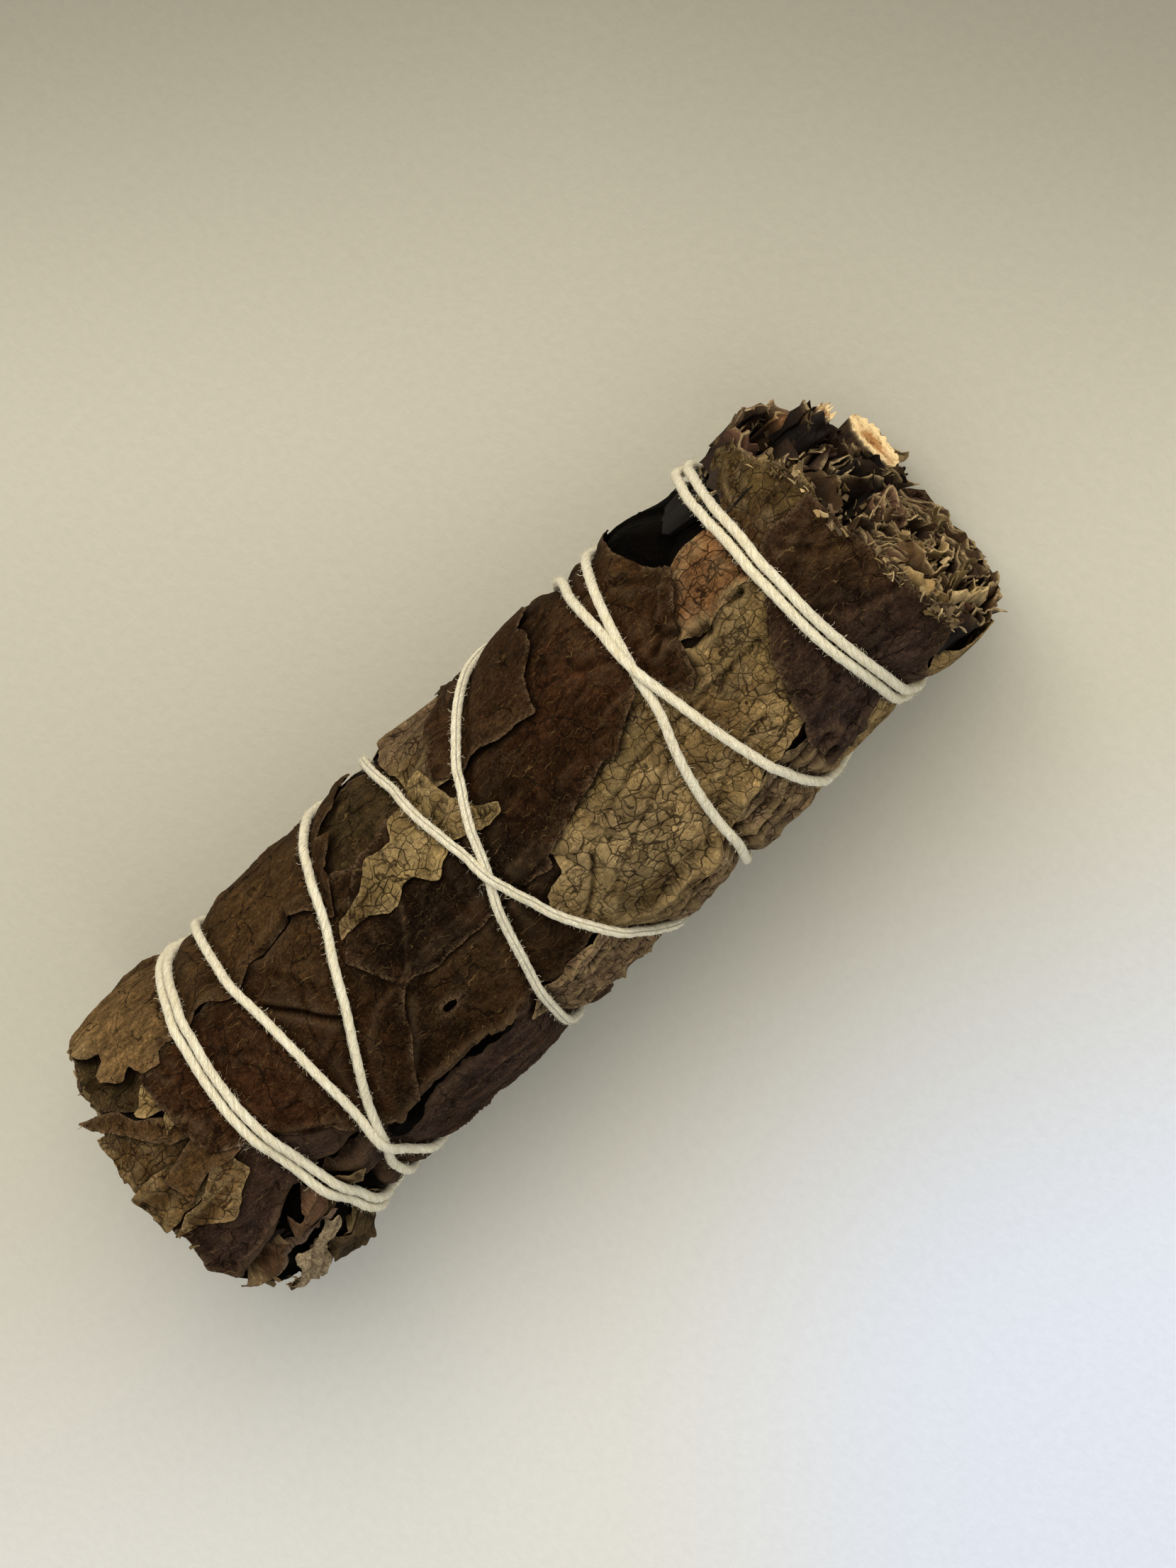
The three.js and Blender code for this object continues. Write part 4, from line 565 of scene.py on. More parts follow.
def grown(mask, passes):
    for _ in range(passes):
        padded = np.pad(mask, 1)
        mask = mask | padded[:-2, 1:-1] | padded[2:, 1:-1] | padded[1:-1, :-2] | padded[1:-1, 2:]
    return mask


def joined_piece(mask, seed_place):
    """The part of a mask that hangs together with one place in it."""
    piece = np.zeros_like(mask)
    piece[seed_place] = mask[seed_place]
    count = 0
    while piece.sum() != count:
        count = piece.sum()
        piece = grown(piece, 4) & mask
    return piece


# The string's way round the bundle


def route_samples():
    """Fine samples of the string's route: phi counted on through all its turns, and s."""
    phi = np.array([p + 360 * turn for turn, points in STRING_ROUTE for p, _ in points], float)
    s = np.array([place for _, points in STRING_ROUTE for _, place in points], float)
    slope = np.gradient(s, phi)
    at = np.arange(phi[0], phi[-1] + 1e-6, STRING_STEP)
    k = np.clip(np.searchsorted(phi, at, side="right") - 1, 0, len(phi) - 2)
    span = phi[k + 1] - phi[k]
    t = (at - phi[k]) / span
    start = (1 + 2 * t) * (1 - t) ** 2 * s[k] + t * (1 - t) ** 2 * span * slope[k]
    end = t * t * (3 - 2 * t) * s[k + 1] + t * t * (t - 1) * span * slope[k + 1]
    return at, start + end


ROUTE_PHI, ROUTE_S = route_samples()


def string_distance(s, y):
    """Distance of places on the outside from the middle of the string, in millimetres."""
    turn = 360 * MM_PER_DEGREE
    route_y = (ROUTE_PHI * MM_PER_DEGREE) % turn
    tree = kdtree.KDTree(3 * len(route_y))
    for k, (place, across) in enumerate(zip(ROUTE_S, route_y)):
        for copy in (-1, 0, 1):
            tree.insert((place, across + copy * turn, 0), 3 * k + copy + 1)
    tree.balance()
    wrapped = np.asarray(y) % turn
    found = [tree.find((a, b, 0))[2] for a, b in zip(np.ravel(s), np.ravel(wrapped))]
    return np.array(found).reshape(np.shape(s))


# The outside before any leaf: rows run along the bundle, columns round it

END_ROUNDING = 0.7
END_ROUNDED_FROM = 47
END_ROUNDED_TO = 53
CORE_BLUR_PASSES = 30

GRID_S, GRID_PHI = np.meshgrid(
    GRID_FROM + np.arange(GRID_ROWS) * GRID_STEP, np.arange(GRID_COLUMNS) * DEGREES_PER_COLUMN, indexing="ij")
STRING_GAP = string_distance(GRID_S, GRID_PHI * MM_PER_DEGREE)


def folds_height(s, phi):
    """How far the folds press the outside in, at most one turn away from where they are written."""
    total = np.zeros(np.shape(s))
    around = (np.asarray(phi) + 180) % 360 - 180
    for points, depth, width in FOLDS:
        away = distance_to_line(s, around * MM_PER_DEGREE, flat_points(points))
        total = total - depth * np.exp(-((away / width) ** 2))
    return total


def end_rounding(s):
    return -END_ROUNDING * smooth_step(END_ROUNDED_FROM, END_ROUNDED_TO, np.abs(s))


def leaf_window(leaf):
    """The part of the height lines that a leaf needs, with its columns counted on past a turn."""
    s = [p[0] for p in leaf["outline"]]
    phi = [p[1] for p in leaf["outline"]]
    first = int((min(s) - GRID_FROM) / GRID_STEP) - MARGIN
    last = int((max(s) - GRID_FROM) / GRID_STEP) + MARGIN
    rows = np.arange(max(first, 0), min(last, GRID_ROWS - 1) + 1)
    low = int(min(phi) / DEGREES_PER_COLUMN) - MARGIN
    high = int(max(phi) / DEGREES_PER_COLUMN) + MARGIN
    return rows, np.arange(low, high + 1)


def leaf_field(leaf):
    """How far inside a leaf's ragged edge each place is, in millimetres. Outside it is below 0."""
    s, y, seed = leaf["s"], leaf["y"], leaf["seed"]
    points = flat_points(leaf["outline"])
    swayed_s = s + EDGE_SWAY * soft_noise(s, y, EDGE_SWAY_SIZE, seed)
    swayed_y = y + EDGE_SWAY * soft_noise(s, y, EDGE_SWAY_SIZE, seed + 1)
    away = distance_to_line(swayed_s, swayed_y, points, closed=True)
    field = np.where(inside_outline(swayed_s, swayed_y, points), away, -away)
    ragged = leaf.get("ragged", 1.0) * EDGE_RAGGED
    field = field + ragged * rough_noise(s, y, EDGE_RAGGED_SIZE, seed + 2)
    for (hole_s, hole_phi), half_length, half_width in leaf.get("holes", []):
        across = y - hole_phi * MM_PER_DEGREE
        reach = np.hypot((s - hole_s) / half_length, across / half_width) - 1
        reach = reach + HOLE_RAGGED * rough_noise(s, y, HOLE_RAGGED_SIZE, seed + 4, 2)
        field = np.minimum(field, reach * half_width)
    off_zero = np.where(field > 0, EDGE_NEAREST, -EDGE_NEAREST)
    return np.where(np.abs(field) < EDGE_NEAREST, off_zero, field)


for index, leaf in enumerate(LEAVES):
    leaf["seed"] = FIRST_SEED + SEED_STEP * index
    rows, columns = leaf_window(leaf)
    leaf["place"] = np.ix_(rows, columns % GRID_COLUMNS)
    leaf["s"], leaf["phi"] = np.meshgrid(
        GRID_FROM + rows * GRID_STEP, columns * DEGREES_PER_COLUMN, indexing="ij")
    leaf["y"] = leaf["phi"] * MM_PER_DEGREE
    field = leaf_field(leaf)
    deepest = np.unravel_index(np.argmax(field), field.shape)
    stray = (field > 0) & ~joined_piece(field > 0, deepest)
    leaf["field"] = np.where(stray, -EDGE_NEAREST, field)

layers = np.zeros((GRID_ROWS, GRID_COLUMNS))
for leaf in LEAVES:
    layers[leaf["place"]] += (LEAF_THICKNESS + LEAF_CLEARANCE) * (leaf["field"] > 0)


def blurred_round(heights, passes):
    """Averaged like blurred, but joined where the columns close the turn."""
    wide = np.concatenate([heights[:, -ROUND_MARGIN:], heights, heights[:, :ROUND_MARGIN]], 1)
    return blurred(wide, passes)[:, ROUND_MARGIN:-ROUND_MARGIN]


OUTSIDE = outer_radius(GRID_S, GRID_PHI)
FOLD_PRESS = folds_height(GRID_S, GRID_PHI)
CORE_RADIUS = (
    OUTSIDE
    - blurred_round(layers, CORE_BLUR_PASSES)
    + end_rounding(GRID_S)
    - STRING_GROOVE * np.exp(-((STRING_GAP / STRING_GROOVE_WIDTH) ** 2))
)


def draped(below, passes):
    """Heights of a sheet that lies on what is below it and bridges its hollows."""
    laid = below
    for _ in range(passes):
        laid = np.maximum(below, blurred(laid, 1))
    return laid


def wrinkle_height(leaf):
    """How high a leaf's wrinkles stand, in millimetres."""
    s, y, seed = leaf["s"], leaf["y"], leaf["seed"]
    high, wide, longer = LONG_WAVE
    height = high * (0.5 + 0.5 * rough_noise(s / longer, y, wide, seed + 5))
    high, wide, longer = FINE_WAVE
    height = height + high * rough_noise(s / longer, y, wide, seed + 6, 2)
    for (high, wide, longer), own_seed in ((WIDE_CREASE, seed + 12), (FINE_CREASE, seed + 13)):
        height = height + high * creased(s / longer, y, wide, own_seed)
    height = height * leaf.get("wrinkle", 1)
    if "crumple" in leaf:
        high, wide, longer = CRUMPLED_FOLD
        folds = 1 - 2 * np.abs(rough_noise(s / longer, y, wide, seed + 7))
        height = height + high * leaf["crumple"] * np.clip(folds, 0, 1) ** 2
    return height


def edge_height(leaf, from_edge):
    """How far a leaf's loose edges and raised corners stand up, in millimetres."""
    s, y = leaf["s"], leaf["y"]
    loose = np.clip(soft_noise(s, y, LOOSE_EDGE_SIZE, leaf["seed"] + 8) + LOOSE_EDGE_SHARE, 0, 1)
    height = (EDGE_LIFT + leaf.get("lift", 0)) * loose * np.exp(-from_edge / EDGE_LIFT_WIDTH)
    for (lift_s, lift_phi), reach, high in leaf.get("lifts", []):
        away = np.hypot(s - lift_s, y - lift_phi * MM_PER_DEGREE)
        height = height + high * np.exp(-((away / reach) ** 2)) * np.exp(-from_edge / CORNER_LIFT_WIDTH)
    return height


def lay_leaf(leaf, surface):
    """Finds a leaf's two faces on the heights laid so far, and adds it to them."""
    below = surface[leaf["place"]]
    held = np.exp(-((STRING_GAP[leaf["place"]] / HELD_WIDTH) ** 2))
    room = np.clip(1 - (below - OUTSIDE[leaf["place"]]) / PILE_LIMIT, LEAST_ROOM, 1)
    from_edge = np.clip(leaf["field"], 0, None)
    loose = np.clip(edge_height(leaf, from_edge) + wrinkle_height(leaf), 0, None)
    curl = leaf.get("curl", 0) * (1 - np.exp(-from_edge / CURL_WIDTH))
    lift = loose * (1 - held) * room + curl * (1 - CURL_HELD * held)
    top = draped(below, DRAPE_PASSES) + LEAF_CLEARANCE + lift + LEAF_THICKNESS
    full = smooth_step(0, THIN_EDGE_WIDTH, from_edge)
    leaf["top"] = top
    leaf["under"] = top - (EDGE_THICKNESS + (LEAF_THICKNESS - EDGE_THICKNESS) * full)
    covered = grown(leaf["field"] > 0, 1)
    surface[leaf["place"]] = np.where(covered, np.maximum(top, below), below)


surface = CORE_RADIUS.copy()
topmost = np.zeros(surface.shape, int)
for index, leaf in enumerate(LEAVES):
    lay_leaf(leaf, surface)
    topmost[leaf["place"]] = np.where(leaf["field"] > 0, index, topmost[leaf["place"]])


# Meshes


def new_mesh(name, points, triangles):
    """A mesh from points in millimetres from the axis."""
    mesh = bpy.data.meshes.new(name)
    mesh.vertices.add(len(points))
    mesh.vertices.foreach_set("co", ((points + AXIS_PLACE) * MM).astype(np.float32).ravel())
    mesh.loops.add(3 * len(triangles))
    mesh.loops.foreach_set("vertex_index", triangles.astype(np.int32).ravel())
    mesh.polygons.add(len(triangles))
    mesh.polygons.foreach_set("loop_start", np.arange(0, 3 * len(triangles), 3, dtype=np.int32))
    mesh.polygons.foreach_set("use_smooth", np.ones(len(triangles), bool))
    mesh.update(calc_edges=True)
    return mesh


def set_number(mesh, name, values):
    attribute = mesh.attributes.new(name, "FLOAT", "POINT")
    attribute.data.foreach_set("value", np.asarray(values, np.float32).ravel())


def set_place(mesh, name, values):
    attribute = mesh.attributes.new(name, "FLOAT_VECTOR", "POINT")
    attribute.data.foreach_set("vector", np.asarray(values, np.float32).ravel())


def set_colour(mesh, name, values):
    attribute = mesh.attributes.new(name, "FLOAT_COLOR", "POINT")
    with_alpha = np.concatenate([values, np.ones((len(values), 1))], 1)
    attribute.data.foreach_set("color", with_alpha.astype(np.float32).ravel())


def in_scene(name, data):
    """A new object in the scene."""
    made = bpy.data.objects.new(name, data)
    bpy.context.scene.collection.objects.link(made)
    return made


def add_piece(name, mesh, material, node):
    """Puts a finished mesh in the scene, in place of one of the part's own solids."""
    piece = in_scene(name, mesh)
    mesh.materials.clear()
    mesh.materials.append(material)
    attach(piece, "root")
    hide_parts(node)


def grid_triangles(rows, columns, closed=False):
    """Two triangles for each square of a grid of points, where a closed grid's columns make a ring."""
    squares = columns if closed else columns - 1
    i, j = np.meshgrid(np.arange(rows - 1), np.arange(squares), indexing="ij")
    after = (j + 1) % columns
    a, b = i * columns + j, (i + 1) * columns + j
    c, d = (i + 1) * columns + after, i * columns + after
    halves = (np.stack(corners, -1).reshape(-1, 3) for corners in ((a, b, c), (a, c, d)))
    return np.concatenate(list(halves))


def cap_triangles(ring, middle):
    """Triangles from a ring of points to the one in its middle."""
    return np.stack([ring, np.roll(ring, -1), np.full(len(ring), middle)], 1)


def cut_along_edge(field):
    """Triangles over the height lines, cut off where the field falls below 0. Each corner is a place
    between two height nodes: (first node, second node, share of the way)."""
    rows, columns = field.shape
    triangles = grid_triangles(rows, columns)
    values = field.ravel()
    inside = values > 0
    count = inside[triangles].sum(1)
    whole = triangles[count == 3]
    corners = [np.stack([whole, whole], -1)]
    for wanted in (1, 2):
        chosen = triangles[count == wanted]
        odd = inside[chosen] if wanted == 1 else ~inside[chosen]
        turn = np.argmax(odd, 1)
        p, q, r = (chosen[np.arange(len(chosen)), (turn + k) % 3] for k in range(3))
        if wanted == 1:
            corners.append(np.stack([np.stack([p, p], 1), np.stack([p, q], 1), np.stack([p, r], 1)], 1))
        else:
            pq, pr = np.stack([p, q], 1), np.stack([p, r], 1)
            qq, rr = np.stack([q, q], 1), np.stack([r, r], 1)
            corners.append(np.stack([qq, rr, pr], 1))
            corners.append(np.stack([qq, pr, pq], 1))
    pairs = np.sort(np.concatenate(corners), axis=2)
    keys = pairs[..., 0] * (rows * columns) + pairs[..., 1]
    unique, where = np.unique(keys, return_inverse=True)
    first = unique // (rows * columns)
    second = unique % (rows * columns)
    same = first == second
    span = np.where(same, 1, values[first] - values[second])
    share = np.where(same, 0, values[first] / span)
    return first, second, share, where.reshape(-1, 3)


def border_edges(triangles):
    """Edges that only one triangle has, in that triangle's direction."""
    edges = np.concatenate([triangles[:, [0, 1]], triangles[:, [1, 2]], triangles[:, [2, 0]]])
    count = triangles.max() + 1
    forward = edges[:, 0] * count + edges[:, 1]
    backward = edges[:, 1] * count + edges[:, 0]
    return edges[~np.isin(forward, backward)]


def closed_sheet(top, under, triangles):
    """Points and triangles of a closed sheet with these two faces. The first half is the top."""
    count = len(top)
    rim = border_edges(triangles)
    i, j = rim[:, 0], rim[:, 1]
    walls = np.concatenate([np.stack([i, i + count, j + count], 1), np.stack([i, j + count, j], 1)])
    faces = np.concatenate([triangles, triangles[:, ::-1] + count, walls])
    return np.concatenate([top, under]), faces


def stained(leaf, s, y):
    """A leaf's colour at each place."""
    tone = rough_noise(s, y, TONE_SIZE, leaf["seed"] + 9)
    colour = np.array(leaf["dye"]) * (1 + TONE_SHARE * tone)[:, None]
    for (stain_s, stain_phi), width, stain in STAINS.get(leaf["name"], []):
        away = np.hypot(s - stain_s, y - stain_phi * MM_PER_DEGREE)
        away = away * (1 + STAIN_RAGGED * rough_noise(s, y, STAIN_RAGGED_SIZE, leaf["seed"] + 10))
        share = STAIN_SHARE * np.exp(-((away / width) ** 2))
        colour = colour * (1 - share)[:, None] + np.array(stain) * share[:, None]
    return colour


def above_floor(points, lowest):
    points[..., 2] = np.maximum(points[..., 2], -lowest)
    return points


def leaf_mesh(leaf, order):
    """A leaf's closed sheet, with what its material reads at each point."""
    step = BACK_LEAF_STEP if leaf["name"].startswith("back") else 1
    first, second, share, triangles = cut_along_edge(leaf["field"][::step, ::step])

    def between(values):
        flat = values[::step, ::step].ravel()
        return flat[first] * (1 - share) + flat[second] * share

    pressed = FOLD_PRESS[leaf["place"]]
    leaf_top = leaf["top"] + pressed
    s, phi, y = between(leaf["s"]), between(leaf["phi"]), between(leaf["y"])
    top = above_floor(on_axis(s, phi, between(leaf_top)), LEAF_LOWEST)
    under = above_floor(on_axis(s, phi, between(leaf["under"] + pressed)), LEAF_LOWEST - LEAF_THICKNESS)
    points, faces = closed_sheet(top, under, triangles)
    mesh = new_mesh(leaf["name"], points, faces)
    mesh.set_sharp_from_angle(angle=math.radians(SHARP_ANGLE))
    # Painted shade: darker in hollows, and beside the edges of leaves laid over this one
    mean = blurred(leaf_top, SHADE_PASSES)
    hollow = np.clip((mean - leaf_top) / HOLLOW_SHADE_DEPTH, 0, 1)
    covered = (topmost[leaf["place"]] > order).astype(float)
    beside = np.clip(COVER_SHADE * blurred(covered, COVER_PASSES), 0, 1)
    # Painted highlight on the ridges, where a leaf stands above its neighbours
    worn = np.clip((leaf_top - mean) / RIDGE_HIGHLIGHT_HEIGHT, 0, 1)
    # A paler rim, partly wear and partly a painted highlight
    rim = np.exp(-np.clip(between(leaf["field"]), 0, None) / RIM_WIDTH)
    place = np.stack([s, y, np.full_like(s, PATTERN_APART * order)], 1)
    set_place(mesh, "leaf_place", np.tile(place, (2, 1)))
    set_colour(mesh, "dye", np.tile(stained(leaf, s, y), (2, 1)))
    set_number(mesh, "rim", np.tile(rim, 2))
    set_number(mesh, "sunk", np.tile(between(np.maximum(hollow, beside)), 2))
    set_number(mesh, "worn", np.tile(between(worn), 2))
    set_number(mesh, "dusty", np.full(2 * len(s), leaf.get("dusty", 1.0)))
    return mesh


# Trees of nodes


class NodeTree:
    """A tree of nodes, with short ways to add to it."""

    def __init__(self, tree):
        self.tree = tree

    def plug(self, value, socket):
        """Gives a socket a link or a plain value."""
        if isinstance(value, bpy.types.NodeSocket):
            self.tree.links.new(value, socket)
        else:
            socket.default_value = value

    def add(self, kind, sockets=None, output=0, **settings):
        """Adds a node with these sockets plugged, and gives back the chosen output."""
        made = self.tree.nodes.new(kind)
        for name, value in settings.items():
            setattr(made, name, value)
        for name, value in (sockets or {}).items():
            self.plug(value, made.inputs[name])
        return made.outputs[output]

    def math(self, operation, first, second=0.0):
        return self.add("ShaderNodeMath", {0: first, 1: second}, operation=operation)

    def product(self, first, *others):
        for other in others:
            first = self.math("MULTIPLY", first, other)
        return first

    def highest(self, first, *others):
        for other in others:
            first = self.math("MAXIMUM", first, other)
        return first

    def vector(self, operation, first, second, output="Vector"):
        return self.add("ShaderNodeVectorMath", {0: first, 1: second}, output, operation=operation)

    def longer(self, vector, factor):
        return self.add("ShaderNodeVectorMath", {0: vector, "Scale": factor}, operation="SCALE")

    def parts(self, vector):
        """The x, y and z of a vector."""
        split = self.tree.nodes.new("ShaderNodeSeparateXYZ")
        self.plug(vector, split.inputs[0])
        return split.outputs

    def joined(self, x=0.0, y=0.0, z=0.0):
        return self.add("ShaderNodeCombineXYZ", {"X": x, "Y": y, "Z": z})


class Look(NodeTree):
    """A material. The places in leaf_place are in millimetres, and all others are in metres."""

    def __init__(self, name, roughness, specular):
        self.material = bpy.data.materials.new(name)
        self.material.use_nodes = True
        super().__init__(self.material.node_tree)
        self.shader = self.tree.nodes["Principled BSDF"].inputs
        self.plug(roughness, self.shader["Roughness"])
        self.plug(specular, self.shader["Specular IOR Level"])

    def attribute(self, name, output="Fac"):
        return self.add("ShaderNodeAttribute", output=output, attribute_name=name)

    def object_place(self):
        return self.add("ShaderNodeTexCoord", output="Object")

    def ramp(self, value, low, high, to_low=0.0, to_high=1.0, way="LINEAR"):
        """The value's way from low to high, as a way from one number to another."""
        limits = {"Value": value, "From Min": low, "From Max": high, "To Min": to_low, "To Max": to_high}
        return self.add("ShaderNodeMapRange", limits, interpolation_type=way)

    def eased(self, value, low, high, to_low=0.0, to_high=1.0):
        return self.ramp(value, low, high, to_low, to_high, "SMOOTHSTEP")

    def mixed(self, share, first, second):
        """Two colours mixed, each a link or one of the paints."""
        full = [(*colour, 1.0) if isinstance(colour, tuple) else colour for colour in (first, second)]
        return self.add("ShaderNodeMix", {0: share, 6: full[0], 7: full[1]}, output=2, data_type="RGBA")

    def noise(self, place, scale, detail=3.0, roughness=0.6, output="Fac"):
        sockets = {"Vector": place, "Scale": scale, "Detail": detail, "Roughness": roughness}
        return self.add("ShaderNodeTexNoise", sockets, output)

    def patches(self, place, scale, low, high, strength=1.0):
        """Soft-edged patches from 0 to `strength`, where noise rises past a level."""
        return self.eased(self.noise(place, scale), low, high, 0.0, strength)

    def turned(self, place, turn, sizes):
        """Places turned from the bundle's axis, with a pattern drawn out to these sizes."""
        scale = tuple(1 / size for size in sizes)
        return self.add("ShaderNodeMapping", {"Vector": place, "Rotation": (0, 0, turn), "Scale": scale})

    def strokes(self, place, turn, length, width, low, high, strength):
        """Short dashes that all run one way."""
        drawn_out = self.turned(place, turn, (length, width, 1.0))
        return self.eased(self.noise(drawn_out, 1.0, 1.5), low, high, 0.0, strength)

    def swayed(self, place, scale, amount):
        """Places pushed aside by noise, so that a regular pattern on them looks grown."""
        push = self.noise(place, scale, 2.0, 0.5, "Color")
        return self.vector("ADD", place, self.longer(self.vector("SUBTRACT", push, (0.5, 0.5, 0.5)), amount))

    def cell_edge(self, place, scale):
        """How far each place is from the nearest edge between cells."""
        sockets = {"Vector": place, "Scale": scale}
        return self.add("ShaderNodeTexVoronoi", sockets, feature="DISTANCE_TO_EDGE")

    def lines(self, distance, width):
        """1 on the lines between cells and 0 off them, with the lines' width given from place to place."""
        return self.eased(self.math("DIVIDE", distance, width), 0.2, 1.0, 1.0, 0.0)

    def veins(self, place, scale, width, *patch):
        """Lines between cells of this scale, seen only in patches."""
        return self.product(self.lines(self.cell_edge(place, scale), width), self.patches(*patch))

    def with_painted_light(self, colour, place, grain, pale_colour, ridge_highlight_share):
        """Paints shade on a leaf in its hollows and beside leaves laid over it, paints highlights on its
        ridges, and makes it paler here and there at its rim, partly as wear and partly as a painted
        highlight.
        """
        in_shade = self.mixed(self.product(self.attribute("sunk"), 0.8), colour, NEAR_BLACK)
        broken = self.product(self.eased(grain, 0.38, 0.58), self.patches(place, 0.4, 0.4, 0.52))
        edge = self.product(self.attribute("rim"), broken, 0.85)
        worn = self.product(self.attribute("worn"), ridge_highlight_share)
        return self.mixed(self.highest(edge, worn), in_shade, pale_colour)

    def finish(self, colour, *bumps):
        """Ends the material with its colour and its bumps: each a height, and how many millimetres it is."""
        self.plug(colour, self.shader["Base Color"])
        normal = None
        for height, distance in bumps:
            sockets = {"Height": height, "Distance": distance * MM, "Strength": 1.0}
            if normal:
                sockets["Normal"] = normal
            normal = self.add("ShaderNodeBump", sockets)
        self.plug(normal, self.shader["Normal"])
        return self.material


# Materials of the leaves

# A step to another part of a pattern, so that creases don't follow the veins
ELSEWHERE = (37.0, 11.0, 5.0)
# How many fields of the net of veins there are to the millimetre
FIELD_SCALE = 0.62


def smooth_leaf_material():
    """The upper face of a dried leaf: dark, mottled and dusty, with hairline veins and a few scratches."""
    look = Look("dried_leaf_smooth", roughness=0.7, specular=0.02)
    place = look.attribute("leaf_place", "Vector")
    dusty = look.attribute("dusty")
    bent = look.swayed(look.swayed(place, 0.5, 2.2), 3.0, 0.25)
    elsewhere = look.vector("ADD", bent, ELSEWHERE)
    clouds = look.noise(look.vector("MULTIPLY", place, (0.6, 1.0, 1.0)), 0.42, 6.0, 0.7)
    blots = look.noise(bent, 0.9, 5.0, 0.72)
    spots = look.noise(bent, 2.4, 4.0, 0.75)
    grain = look.noise(place, 3.4, 5.0, 0.8)
    drawn_out = look.vector("MULTIPLY", look.swayed(place, 0.4, 0.9), (0.3, 1.8, 1.0))
    streaks = look.noise(drawn_out, 1.0, 4.0, 0.65)
    shade = look.product(
        look.ramp(clouds, 0.3, 0.7, 0.44, 1.36),
        look.eased(blots, 0.46, 0.54, 0.8, 1.2),
        look.eased(spots, 0.44, 0.54, 0.84, 1.14),
        look.ramp(streaks, 0.3, 0.7, 0.72, 1.28),
        look.ramp(grain, 0.32, 0.68, 0.42, 1.6))
    tone = look.longer(look.attribute("dye", "Color"), shade)
    reddish = look.product(dusty, look.patches(place, 0.28, 0.5, 0.68, 0.35))
    warmed = look.mixed(reddish, tone, look.longer(RED_BROWN, shade))
    dust = look.product(dusty, look.patches(place, 0.22, 0.48, 0.7), look.eased(grain, 0.45, 0.65, 0.0, 0.2))
    dimmed = look.mixed(dust, warmed, DUST)
    vein = look.veins(bent, 0.3, 0.02, place, 0.4, 0.5, 0.62, 0.5)
    veined = look.mixed(look.product(dusty, vein), dimmed, OLIVE)
    crease = look.veins(elsewhere, 0.22, 0.026, elsewhere, 0.3, 0.44, 0.5)
    lined = look.mixed(look.product(crease, 0.8), veined, NEAR_BLACK)
    marks = look.highest(
        look.strokes(bent, 0.5, 3.6, 0.13, 0.66, 0.73, 0.45),
        look.strokes(bent, -1.1, 2.6, 0.12, 0.67, 0.74, 0.4),
        look.eased(look.noise(place, 6.0, 2.0), 0.64, 0.74, 0.0, 0.5))
    marked = look.mixed(look.product(dusty, marks), lined, TAN)
    # Painted shade in the hollows and beside overlapping leaves, and painted highlights on ridges and rims
    lit_and_shaded = look.with_painted_light(marked, place, grain, DUST, 0.3)
    swells = look.noise(look.vector("MULTIPLY", place, (0.7, 1.0, 1.0)), 0.9, 5.0, 0.65)
    # dusty sets how much of the dust, marks, painted shade and painted highlights a leaf takes
    return look.finish(
        look.mixed(look.math("MINIMUM", dusty, 1.0), tone, lit_and_shaded),
        (swells, 0.6), (look.math("SUBTRACT", vein, crease), 0.12), (streaks, 0.16), (grain, 0.1))


